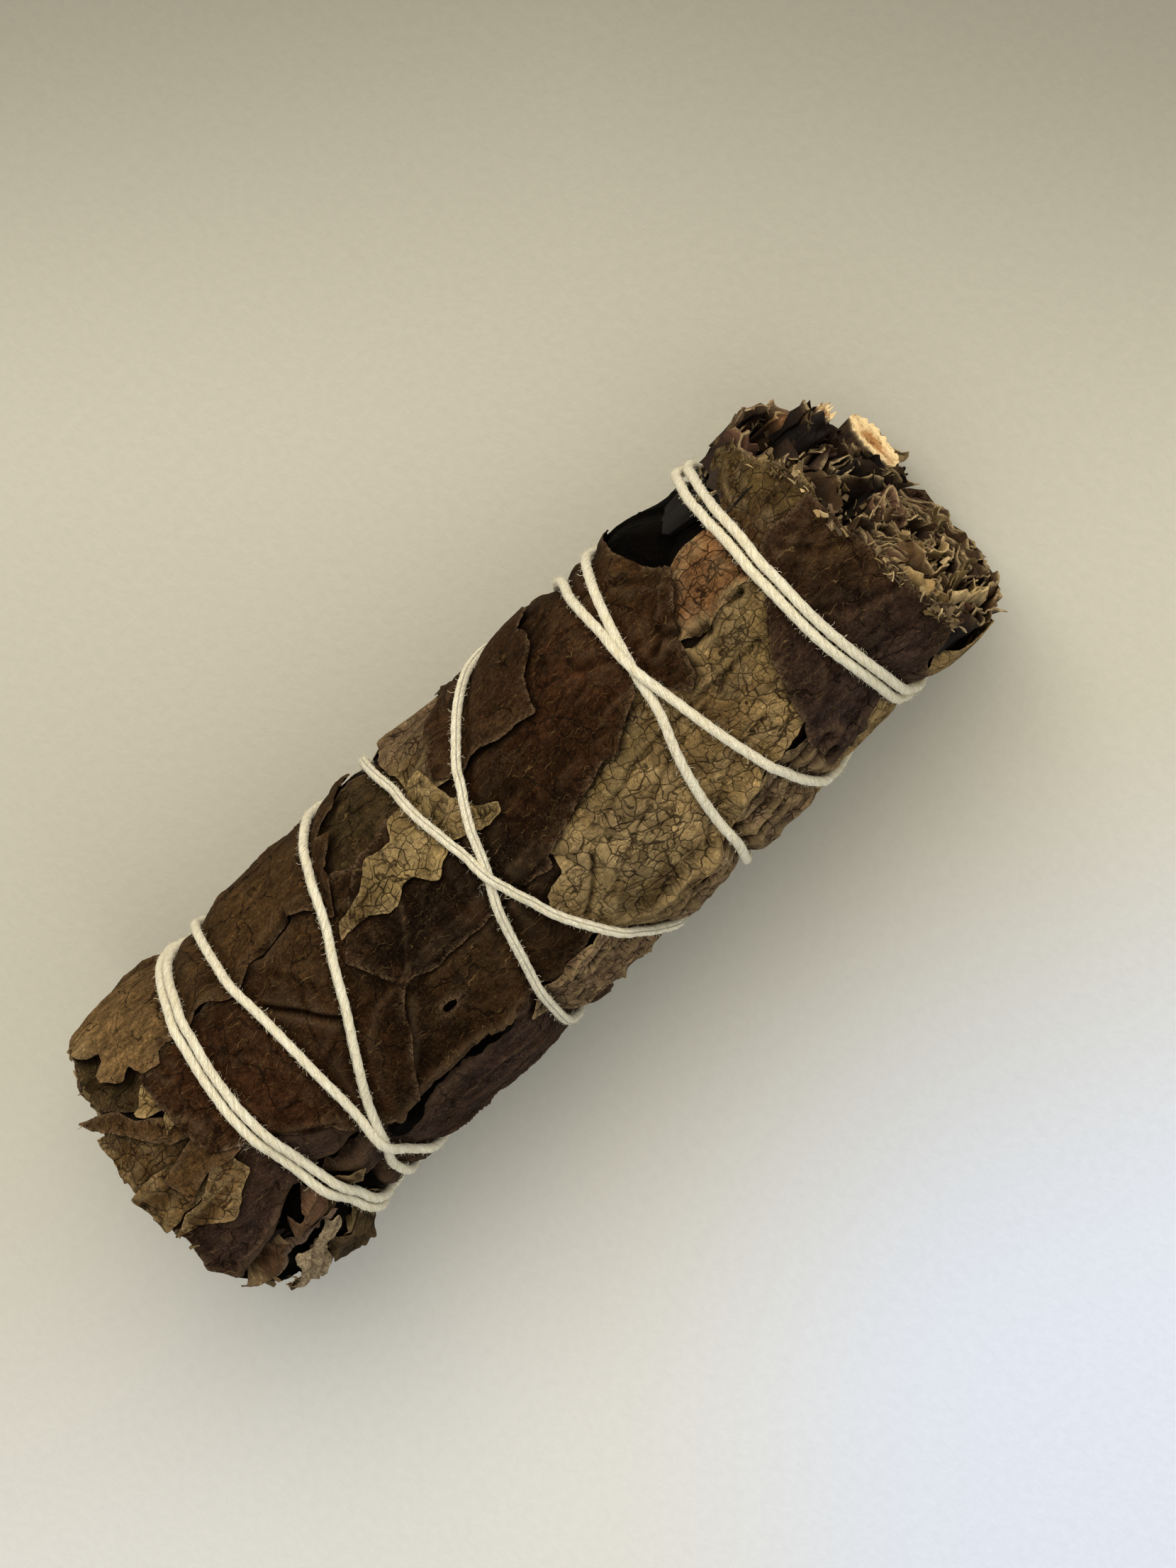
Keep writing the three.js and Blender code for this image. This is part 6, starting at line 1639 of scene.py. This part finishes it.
def rolled_path(random, end, share):
    """The line that a rolled leaf makes in the end face: points (y, z)."""
    start = random.uniform(0, 360)
    more, less = ROLL_MORE
    span = random.uniform(*ROLL_SPANS) * (more - less * share)
    reach = share * (RADIUS_STALK_END if end > 0 else RADIUS_LEAF_END)
    count = max(int(math.radians(span) * reach / SHEET_SPACING), ROLL_LEAST_POINTS)
    phi = start + np.linspace(0, span, count)
    seed = int(random.integers(1000))
    length = np.radians(phi) * reach
    slip = layered_noise(length, 0, ROLL_SLIP, seed + 2)
    radius = reach + layered_noise(length, 0, ROLL_WAVES, seed)
    radius = radius - np.linspace(0, 1, count) ** 2 * random.uniform(*ROLL_INWARDS)
    phi = phi + slip / max(reach, ROLL_SLIP_RADIUS) / math.pi * 180
    radius = np.minimum(np.maximum(radius, ROLL_LEAST_RADIUS), inside_limit(end, phi))
    turn = np.radians(phi)
    return np.stack([radius * np.sin(turn), radius * np.cos(turn)], 1)


def scroll_path(random, end):
    """A leaf rolled up on itself, off the middle."""
    place = random.uniform(0, 2 * math.pi)
    off = random.uniform(*SCROLL_PLACES)
    size = random.uniform(*SCROLL_SIZES)
    turn = np.linspace(0, random.uniform(*SCROLL_TURNS) * 2 * math.pi, int(size * SCROLL_POINTS))
    radius = size * (1 - SCROLL_TIGHTENING * turn / turn[-1])
    radius = radius + layered_noise(turn * size, 0, SCROLL_WAVES, int(random.integers(1000)))
    y = off * math.sin(place) + radius * np.cos(turn + place) * random.uniform(*SCROLL_FLATNESS)
    z = off * math.cos(place) + radius * np.sin(turn + place)
    phi = np.degrees(np.arctan2(y, z))
    pulled = np.minimum(1, inside_limit(end, phi) / np.maximum(np.hypot(y, z), NEAREST_TO_AXIS))
    return np.stack([y * pulled, z * pulled], 1)


def stalk_wrap_path(random, middle, half):
    """A leaf pressed round part of a stalk."""
    start = random.uniform(0, 2 * math.pi)
    turn = start + np.linspace(0, random.uniform(*WRAP_REACH), WRAP_POINTS)
    off = random.uniform(*WRAP_OFF)
    off = off + layered_noise(turn * WRAP_WAVE_RUN, 0, WRAP_WAVES, int(random.integers(1000)))
    round_stalk = np.stack([(half[0] + off) * np.cos(turn), (half[1] + off) * np.sin(turn)], 1)
    return round_stalk + np.array(middle)


def drawn_path(points):
    """A rim drawn through a few points, with small waves."""
    given = np.array(points, float)
    length = np.concatenate([[0], np.cumsum(np.hypot(*np.diff(given, axis=0).T))])
    fine = np.arange(0, length[-1], SHEET_SPACING * DRAWN_FINER)
    path = np.stack([evened(np.interp(fine, length, given[:, k]), DRAWN_EVENED) for k in (0, 1)], 1)
    place = fine + DRAWN_APART * given[0, 0]
    waves = [layered_noise(place, 0, DRAWN_WAVES, DRAWN_SEED + k) for k in (0, 1)]
    return path + np.stack(waves, 1)


def how_near(y, z, middle_y, middle_z, half_y, half_z):
    """The square of the distance from a middle, where it is 1 at these half sizes."""
    return ((y - middle_y) / half_y) ** 2 + ((z - middle_z) / half_z) ** 2


def sheet_tip(random, end, y, z, length, further, seed):
    """How far out a packed leaf's torn rim reaches."""
    ragged = layered_noise(length, 0, SHEET_RAGGED, seed)[:, None]
    if further:
        ragged = STANDING_RAGGED * ragged
    clumps = layered_noise(y, z, SHEET_CLUMPS, CLUMP_SEED)
    tip = end_tip(end, y) + ragged - random.uniform(*TIP_STRAYS) + clumps + further
    if end > 0 and not further:
        for *hollow, depth in HOLLOWS:
            tip = tip - depth * smooth_step(*HOLLOW_SIDES, how_near(y, z, *hollow))
        *mound, height = STALK_RISE
        tip = tip + height * np.exp(-how_near(y, z, *mound))
    return tip


def packed_sheet(random, end, path, further, dye):
    """One packed leaf as a closed sheet, with what its material reads at each point."""
    seed = int(random.integers(1000))
    run = np.gradient(path, axis=0)
    length = np.cumsum(np.hypot(*run.T))
    y, z = path[:, :1], path[:, 1:]
    tip = sheet_tip(random, end, y, z, length, further, seed)
    x = end * (tip - SHEET_DEPTHS)
    depth = np.broadcast_to(SHEET_DEPTHS, x.shape)
    along = np.broadcast_to(length[:, None], x.shape)
    opened = np.exp(-depth / OPENED_DEPTH)

    def bend(own_seed):
        return sum(high * soft_noise(along, depth, size, own_seed) for high, size in SHEET_BENDS) * opened

    grid_y, grid_z = y + bend(seed + 2), z + bend(seed + 3)
    run = run / np.maximum(np.hypot(*run.T), 1e-6)[:, None]
    aside = SHEET_THICKNESS / 2 * run
    top, under = (
        np.stack([x, grid_y - way * aside[:, 1:], grid_z + way * aside[:, :1]], -1).reshape(-1, 3)
        for way in (-1, 1))
    triangles = grid_triangles(*x.shape)
    if end > 0:
        triangles = triangles[:, ::-1]
    points, faces = closed_sheet(top, under, triangles)
    dark_side = y.mean() > DARK_SIDE_FROM
    if dye is None:
        dyes = SHEET_DYES if dark_side else LIGHT_SHEET_DYES
        dye = dyes[int(random.integers(len(dyes)))]
    bare = RIM_BARE_DARK_SIDE if dark_side else RIM_BARE_LIGHT_SIDE
    seen = smooth_step(bare, bare + RIM_BARE_SOFT, soft_noise(along, depth, RIM_SIZE, seed + 4))
    below_tip = np.clip(end_tip(end, y) + further - tip, 0, None)
    return {
        "points": points,
        "faces": faces,
        "dye": np.broadcast_to(dye, points.shape),
        "rim": np.tile((np.exp(-depth / RIM_DEPTH) * seen).ravel(), 2),
        # Painted shade, darker deeper into the end and in its hollows
        "sunk": np.tile(smooth_step(SHADE_FROM_DEPTH, SHADE_TO_DEPTH, depth + below_tip).ravel(), 2),
        "place": np.tile(np.stack([along, depth, np.full(x.shape, float(seed))], -1).reshape(-1, 3), (2, 1)),
    }


def packed_mesh(end, seed, roll_count, scroll_count):
    """All the leaves packed at one end: rolled, rolled up, pressed round the stalks and standing out."""
    random = np.random.default_rng(seed)
    shares = np.sqrt(np.linspace(*ROLL_AREAS, roll_count))
    sheets = [(rolled_path(random, end, share), 0, None) for share in shares]
    sheets.extend((scroll_path(random, end), 0, None) for _ in range(scroll_count))
    if end > 0:
        for middle, half, reach, count in STALK_WRAPS:
            sheets.extend((stalk_wrap_path(random, middle, half), reach, None) for _ in range(count))
        sheets.extend((drawn_path(points), further, dye) for points, further, dye in STANDING_LEAVES)
    made = [packed_sheet(random, end, *sheet) for sheet in sheets]
    starts = np.cumsum([0] + [len(sheet["points"]) for sheet in made[:-1]])

    def gathered(key):
        return np.concatenate([sheet[key] for sheet in made])

    faces = np.concatenate([sheet["faces"] + start for sheet, start in zip(made, starts)])
    mesh = new_mesh("packed_leaves", gathered("points"), faces)
    mesh.set_sharp_from_angle(angle=math.radians(SHARP_ANGLE))
    set_colour(mesh, "dye", gathered("dye"))
    set_number(mesh, "rim", gathered("rim"))
    set_number(mesh, "sunk", gathered("sunk"))
    set_place(mesh, "leaf_place", gathered("place"))
    return mesh


def core_material():
    """Pressed leaf seen only in gaps: nearly black as painted shade, with crumbs."""
    look = Look("pressed_leaf", roughness=0.9, specular=0.05)
    crumbs = look.noise(look.object_place(), 900.0, 4.0, 0.7)
    return look.finish(look.mixed(look.eased(crumbs, 0.5, 0.8), CORE_SHADE_BLACK, CHOCOLATE), (crumbs, 0.5))


def packed_leaf_material():
    """Torn edges of packed leaves: pale at the very edge, partly as torn fibres and partly as a painted
    highlight, with painted shade further in.
    """
    look = Look("packed_leaf", roughness=0.75, specular=0.15)
    place = look.attribute("leaf_place", "Vector")
    clouds = look.noise(place, 0.8, 4.0, 0.65)
    grain = look.noise(place, 4.0, 3.0, 0.7)
    shade = look.product(look.ramp(clouds, 0.3, 0.7, 0.6, 1.5), look.ramp(grain, 0.3, 0.7, 0.7, 1.3))
    tone = look.longer(look.attribute("dye", "Color"), shade)
    shaded = look.mixed(look.product(look.attribute("sunk"), 0.85), tone, PAINTED_SHADE_BLACK)
    edge = look.product(look.attribute("rim"), look.ramp(grain, 0.35, 0.6, 0.15, 0.8))
    return look.finish(look.mixed(edge, shaded, FIBRE_PALE), (clouds, 0.2), (grain, 0.06))


PRESSED_LEAF = core_material()
PACKED_LEAF = packed_leaf_material()
for name, mesh, finish in (
        ("packed_core", core_mesh(), PRESSED_LEAF),
        ("packed_leaves_right", packed_mesh(1, seed=5, roll_count=96, scroll_count=24), PACKED_LEAF),
        ("packed_leaves_left", packed_mesh(-1, seed=8, roll_count=84, scroll_count=12), PACKED_LEAF)):
    add_piece(name, mesh, finish, "inner_leaves")


# Torn bits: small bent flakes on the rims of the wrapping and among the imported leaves

# End (-1 or 1), the stretch of phi, how many on the rim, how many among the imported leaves
TORN_PLACES = [(1, -66, 64, 190, 330), (-1, -95, 95, 50, 60)]
TORN_CLUSTERS = 26
CLUSTER_SPREAD = 2.2
TORN_REACH = 0.86
FLAKE_LENGTHS = (0.25, 1.15)
FLAKE_BREADTH = 0.8
FLAKE_CURL = 0.35
FLAKE_THICKNESS = 0.1
FLAKE_FOOT = 1.05
FLAKE_TAPER = 0.55
# Where flakes lie: how far back from the rim and under the outside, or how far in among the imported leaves
RIM_BACK = (-0.2, 0.8)
RIM_UNDER = (0, 0.5)
END_IN = (0.2, 1.8)
# How pale their rims are, and how much painted shade their material gives them
FLAKE_PALENESS = (0, 0.4)
FLAKE_DARKNESS = (0, 0.5)
# How a flake on the rim leans: round the rim, any way, out of the end, and away from the axis
LEAN_ROUND = 1.3
LEAN_STRAY = 0.35
LEAN_ENDWARDS = 0.45
LEAN_OUT = 0.3
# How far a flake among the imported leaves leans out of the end
END_LEAN = 0.8
FLAKE_DYES = np.array([
    FIBRE_PALE, PALE_TAN, TAN, DUST, OLIVE, OLIVE, BROWN, BROWN, BROWN, CHOCOLATE, CHOCOLATE])


def torn_flakes():
    """One bent flake on each point of the given mesh, leaning the way the point says."""
    shape = ShapeTree("torn_flakes", ("Breadth", "Curl", "Thickness"))
    given = shape.given
    sheet = shape.add("GeometryNodeMeshGrid", {
        "Size X": given["Breadth"], "Size Y": 1.0, "Vertices X": 3, "Vertices Y": 4})
    across, upwards, _ = shape.parts(shape.add("GeometryNodeInputPosition"))
    along = shape.math("ADD", upwards, 0.5)
    bowed = shape.product(along, along, given["Curl"])
    taper = shape.math("SUBTRACT", FLAKE_FOOT, shape.product(along, FLAKE_TAPER))
    point = shape.joined(shape.product(across, taper), bowed, along)
    bent = shape.add("GeometryNodeSetPosition", {"Geometry": sheet, "Position": point})
    thick = shape.add("GeometryNodeExtrudeMesh", {
        "Mesh": bent, "Offset Scale": given["Thickness"], "Individual": False})
    closed = shape.tree.nodes.new("GeometryNodeJoinGeometry")
    shape.plug(shape.add("GeometryNodeFlipFaces", {"Mesh": bent}), closed.inputs[0])
    shape.plug(thick, closed.inputs[0])
    flake = shape.add("GeometryNodeMergeByDistance", {"Geometry": closed.outputs[0], "Distance": 0.001})
    shape.finish(shape.on_points(given["Geometry"], flake, seed=3))
    return shape


def rim_points(end, low_phi, high_phi, count, random):
    """Places along the rim of the wrapping at one end, and the way each flake leans."""
    clusters = random.uniform(low_phi, high_phi, TORN_CLUSTERS)
    phi = clusters[random.integers(TORN_CLUSTERS, size=count)] + random.normal(0, CLUSTER_SPREAD, count)
    columns = np.round((phi % 360) / DEGREES_PER_COLUMN).astype(int) % GRID_COLUMNS
    covered = [np.flatnonzero(layers[:, column])[-1 if end > 0 else 0] for column in columns]
    s = GRID_FROM + GRID_STEP * np.array(covered) - end * random.uniform(*RIM_BACK, count)
    points = on_axis(s, phi, height_at(surface, s, phi) - random.uniform(*RIM_UNDER, count))
    out = unit(points * (0, 1, 1))
    round_rim = np.stack([np.zeros(count), out[:, 2], -out[:, 1]], 1) * random.choice([-1, 1], (count, 1))
    lean = round_rim * LEAN_ROUND + random.normal(0, LEAN_STRAY, (count, 3))
    return points, lean + np.array([end * LEAN_ENDWARDS, 0, 0]) + LEAN_OUT * out


def end_points(end, count, random):
    """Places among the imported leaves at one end, and the way each flake leans."""
    angle = random.uniform(0, 2 * math.pi, count)
    reach = TORN_REACH * RADIUS_STALK_END * np.sqrt(random.random(count))
    y, z = reach * np.cos(angle), reach * np.sin(angle)
    s = end * (end_tip(end, y) - random.uniform(*END_IN, count))
    return np.stack([s, y, z], 1), random.normal(0, 1, (count, 3)) + np.array([end * END_LEAN, 0, 0])


def torn_bits(seed):
    """The points that the flakes stand on, with what their material reads."""
    random = np.random.default_rng(seed)
    made = []
    for end, low_phi, high_phi, rim_count, end_count in TORN_PLACES:
        made.append(rim_points(end, low_phi, high_phi, rim_count, random))
        made.append(end_points(end, end_count, random))
    feet, leans = (np.concatenate(values) for values in zip(*made))
    count = len(feet)
    mesh = leaning_points("torn_bits", feet, unit(leans) * random.uniform(*FLAKE_LENGTHS, count)[:, None])
    set_colour(mesh, "dye", FLAKE_DYES[random.integers(len(FLAKE_DYES), size=count)])
    set_number(mesh, "rim", random.uniform(*FLAKE_PALENESS, count))
    set_number(mesh, "sunk", random.uniform(*FLAKE_DARKNESS, count))
    set_place(mesh, "leaf_place", feet)
    return mesh


bits = torn_flakes().shaped(torn_bits(seed=77), PACKED_LEAF, {
    "Breadth": FLAKE_BREADTH, "Curl": FLAKE_CURL, "Thickness": FLAKE_THICKNESS})
add_piece("torn_bits", bits, PACKED_LEAF, "inner_leaves")


# The two cut stalks

# The middle of the cut, the stalk's size, how far it runs aside on the way in, the cut's slant in degrees,
# and how far its torn fibres stand out
STALKS = {
    "wide": dict(end=(51.8, 5.1, -7.0), width=6.6, height=2.2, length=60, drift=-3, slant=30, torn=0.4),
    "small": dict(end=(51.1, 10.3, -3.2), width=1.8, height=1.6, length=24, drift=-4, slant=20, torn=1.1),
}
STALK_COLUMNS = 72
STALK_SEED = 61
GROOVES = 9
GROOVE_DEPTH = 0.03
STALK_ROUGHNESS = 0.035
FIBRE_SHARE = 0.45
# How many lumps of noise there are to the radian round the bark and round the torn edge, and across the cut
BARK_LUMPS = 4
TORN_LUMPS = 7
CUT_LUMPS = (5, 14)
# How far the torn edge and the cut's colour run back on the bark, and how far the edge runs in on the cut, as
# a share of its size
TORN_RUN_BACK = 0.3
CUT_RUN_BACK = 0.1
TORN_RUN_IN = 0.05
# Rings of points: how far back along the stalk, and how large on the cut against its rim
STALK_BACK = [60, 50, 40, 30, 22, 16, 12, 9, 7, 5.5, 4.2, 3.2, 2.4, 1.8, 1.3, 0.9, 0.6, 0.35, 0.15, 0]
STALK_FACE = [0.985, 0.95, 0.88, 0.8, 0.72, 0.64, 0.56, 0.48, 0.4, 0.32, 0.24, 0.16, 0.08]
PITH_DEPTH = 0.25
PITH_SIZE = 0.35


def stalk_mesh(name, stalk):
    """A stalk with grooves along it, cut off at a slant, with torn fibres round the cut."""
    x0, y0, z0 = stalk["end"]
    slope = math.tan(math.radians(stalk["slant"]))
    angle = np.linspace(0, 2 * math.pi, STALK_COLUMNS, endpoint=False)
    around_y, around_z = np.cos(angle), np.sin(angle)
    rough = 1 + STALK_ROUGHNESS * soft_noise(angle * BARK_LUMPS, 0, 1.0, STALK_SEED)
    ribs = rough + GROOVE_DEPTH * np.sin(GROOVES * angle + 1)
    torn = stalk["torn"] * np.abs(soft_noise(angle * TORN_LUMPS, 0, 1.0, STALK_SEED + 1))
    points, on_cut, reach = [], [], []

    def ring(size, back, push, share):
        y = stalk["width"] / 2 * around_y * size * ribs
        z = stalk["height"] / 2 * around_z * size * ribs
        drift = stalk["drift"] * back / stalk["length"]
        points.append(np.stack([x0 - slope * z - back + push, y0 + y + drift, z0 + z], 1))
        on_cut.append(np.full(STALK_COLUMNS, share))
        reach.append(np.full(STALK_COLUMNS, size))

    for back in STALK_BACK:
        if back <= stalk["length"]:
            ring(1, back, torn * math.exp(-back / TORN_RUN_BACK), math.exp(-back / CUT_RUN_BACK))
    for size in STALK_FACE:
        across, upwards = (lumps * size * way for lumps, way in zip(CUT_LUMPS, (around_y, around_z)))
        fibres = soft_noise(across, upwards, 1.0, STALK_SEED + 2)
        pith = -PITH_DEPTH * math.exp(-((size / PITH_SIZE) ** 2))
        push = torn * math.exp((size - 1) / TORN_RUN_IN) + FIBRE_SHARE * stalk["torn"] * fibres + pith
        ring(size, 0, push, 1.0)
    rings = len(points)
    points.append(np.array([[x0 - PITH_DEPTH, y0, z0]]))
    points.append(np.mean(points[0], axis=0)[None])
    last = (rings - 1) * STALK_COLUMNS + np.arange(STALK_COLUMNS)
    tip = rings * STALK_COLUMNS
    faces = np.concatenate([
        grid_triangles(rings, STALK_COLUMNS, closed=True)[:, [0, 2, 1]], cap_triangles(last, tip),
        cap_triangles(np.arange(STALK_COLUMNS), tip + 1)[:, [1, 0, 2]]])
    mesh = new_mesh(name, np.concatenate(points), faces)
    set_number(mesh, "cut", np.concatenate([*on_cut, [1.0, 0.0]]))
    set_number(mesh, "reach", np.concatenate([*reach, [0.0, 1.0]]))
    return mesh


def stalk_material():
    """A dry woody stalk: brown bark, and a pale cut with a light ring and a darker pith."""
    look = Look("cut_stalk", roughness=0.8, specular=0.2)
    place = look.object_place()
    streaks = look.noise(look.vector("MULTIPLY", place, (120.0, 1500.0, 1500.0)), 1.0)
    crumbs = look.noise(place, 1600.0, 4.0, 0.7)
    fibres = look.noise(look.vector("MULTIPLY", place, (500.0, 500.0, 2400.0)), 1.0)
    bark = look.mixed(look.eased(streaks, 0.3, 0.7), BARK, BROWN)
    uneven = look.math("ADD", look.attribute("reach"), look.ramp(crumbs, 0.3, 0.7, -0.2, 0.2))
    wood = look.mixed(look.eased(uneven, 0.25, 0.75), WOOD_CORE, WOOD_PALE)
    streaked = look.mixed(look.eased(fibres, 0.5, 0.68, 0.0, 0.6), wood, WOOD_FIBRE)
    return look.finish(look.mixed(look.attribute("cut"), bark, streaked), (fibres, 0.35), (crumbs, 0.12))


CUT_STALK = stalk_material()
for name, stalk in STALKS.items():
    add_piece("cut_stalk_" + name, stalk_mesh(name, stalk), CUT_STALK, "stalk_" + name)


# Floor, light and camera

VIEW_TILT = 22.0
VIEW_TURN = 42.951
VIEW_DISTANCE = 450.0
VIEW_ASIDE = (5.953, 5.121)
PHOTO_HEIGHT = 2212
FOCAL_PIXELS = 6379.97
SENSOR = 36.0
NEAREST_SEEN = 0.01
# Soft square lights: right, up and towards the camera, distance and width, power, colour
LIGHTS = {
    "window": ((-0.15, 0.62, 1.0), 900, 10.0, (1.0, 0.95, 0.86)),
    "sky": ((0.3, -0.6, 0.9), 1100, 3.8, (0.9, 0.95, 1.0)),
}
ROOM_COLOUR = (1.0, 0.98, 0.95, 1.0)
ROOM_STRENGTH = 0.42
FLOOR_HALF = 1.5
# Where up and right are on the floor as the camera sees it, for the light and shade painted on it
FLOOR_UP = (6.3, 7.3, 0)
FLOOR_RIGHT = (6.8, -6.8, 0)

tilt = math.radians(VIEW_TILT)
turn = math.radians(VIEW_TURN)
along = Vector((math.cos(tilt), 0, -math.sin(tilt)))
towards = Vector((math.sin(tilt), 0, math.cos(tilt)))
side = Vector((0, -1, 0))
view_right = math.cos(turn) * along + math.sin(turn) * side
view_up = math.sin(turn) * along - math.cos(turn) * side
aimed_at = VIEW_ASIDE[0] * view_right + VIEW_ASIDE[1] * view_up


def in_metres(point):
    return (Vector(point) + Vector(AXIS_PLACE)) * MM


camera = in_scene("camera", bpy.data.cameras.new("camera"))
camera.data.sensor_fit = "AUTO"
camera.data.sensor_width = SENSOR
camera.data.lens = FOCAL_PIXELS / PHOTO_HEIGHT * SENSOR
camera.data.clip_start = NEAREST_SEEN
facing = Matrix((view_right, view_up, towards)).transposed().to_4x4()
camera.matrix_world = Matrix.Translation(in_metres(aimed_at + VIEW_DISTANCE * towards)) @ facing
bpy.context.scene.camera = camera


def add_light(name, aside, distance, power, colour):
    """A soft square light that faces the middle of the bundle, as wide as it is far off."""
    data = bpy.data.lights.new(name, "AREA")
    data.size = distance * MM
    data.energy = power
    data.color = colour
    light = in_scene(name, data)
    direction = aside[0] * view_right + aside[1] * view_up + aside[2] * towards
    light.location = in_metres(direction.normalized() * distance)
    light.rotation_mode = "QUATERNION"
    light.rotation_quaternion = direction.to_track_quat("Z", "Y")


for name, light in LIGHTS.items():
    add_light(name, *light)

world = bpy.data.worlds.new("room")
world.use_nodes = True
room = world.node_tree.nodes["Background"].inputs
room["Color"].default_value = ROOM_COLOUR
room["Strength"].default_value = ROOM_STRENGTH
bpy.context.scene.world = world
bpy.context.scene.view_settings.view_transform = "Standard"


def paper_material():
    """A pale sheet with painted light: a darker warm grey shade at the far side and on the left, and a cool
    white light at the near one.
    """
    look = Look("pale_paper", roughness=0.9, specular=0.1)
    place = look.object_place()
    up = look.vector("DOT_PRODUCT", place, FLOOR_UP, "Value")
    right = look.vector("DOT_PRODUCT", place, FLOOR_RIGHT, "Value")
    near = look.mixed(look.eased(right, 0.0, 0.45), PAPER_WHITE, PAPER_COOL_LIGHT)
    leftwards = look.math("SUBTRACT", up, look.product(right, 0.35))
    middle = look.mixed(look.eased(leftwards, -0.75, -0.05), near, PAPER_LEFT)
    rightwards = look.math("ADD", up, look.product(look.highest(right, 0.0), 0.2))
    far = look.mixed(look.eased(rightwards, 0.3, 1.0), middle, PAPER_FAR_SHADE)
    fibres = look.noise(place, 900.0)
    return look.finish(look.longer(far, look.ramp(fibres, 0.3, 0.7, 0.98, 1.02)), (fibres, 0.05))


floor_mesh = bpy.data.meshes.new("floor")
floor_mesh.from_pydata(
    [(-FLOOR_HALF, -FLOOR_HALF, 0), (FLOOR_HALF, -FLOOR_HALF, 0), (FLOOR_HALF, FLOOR_HALF, 0),
     (-FLOOR_HALF, FLOOR_HALF, 0)], [], [(0, 1, 2, 3)])
floor = in_scene("floor", floor_mesh)
floor_mesh.materials.append(paper_material())
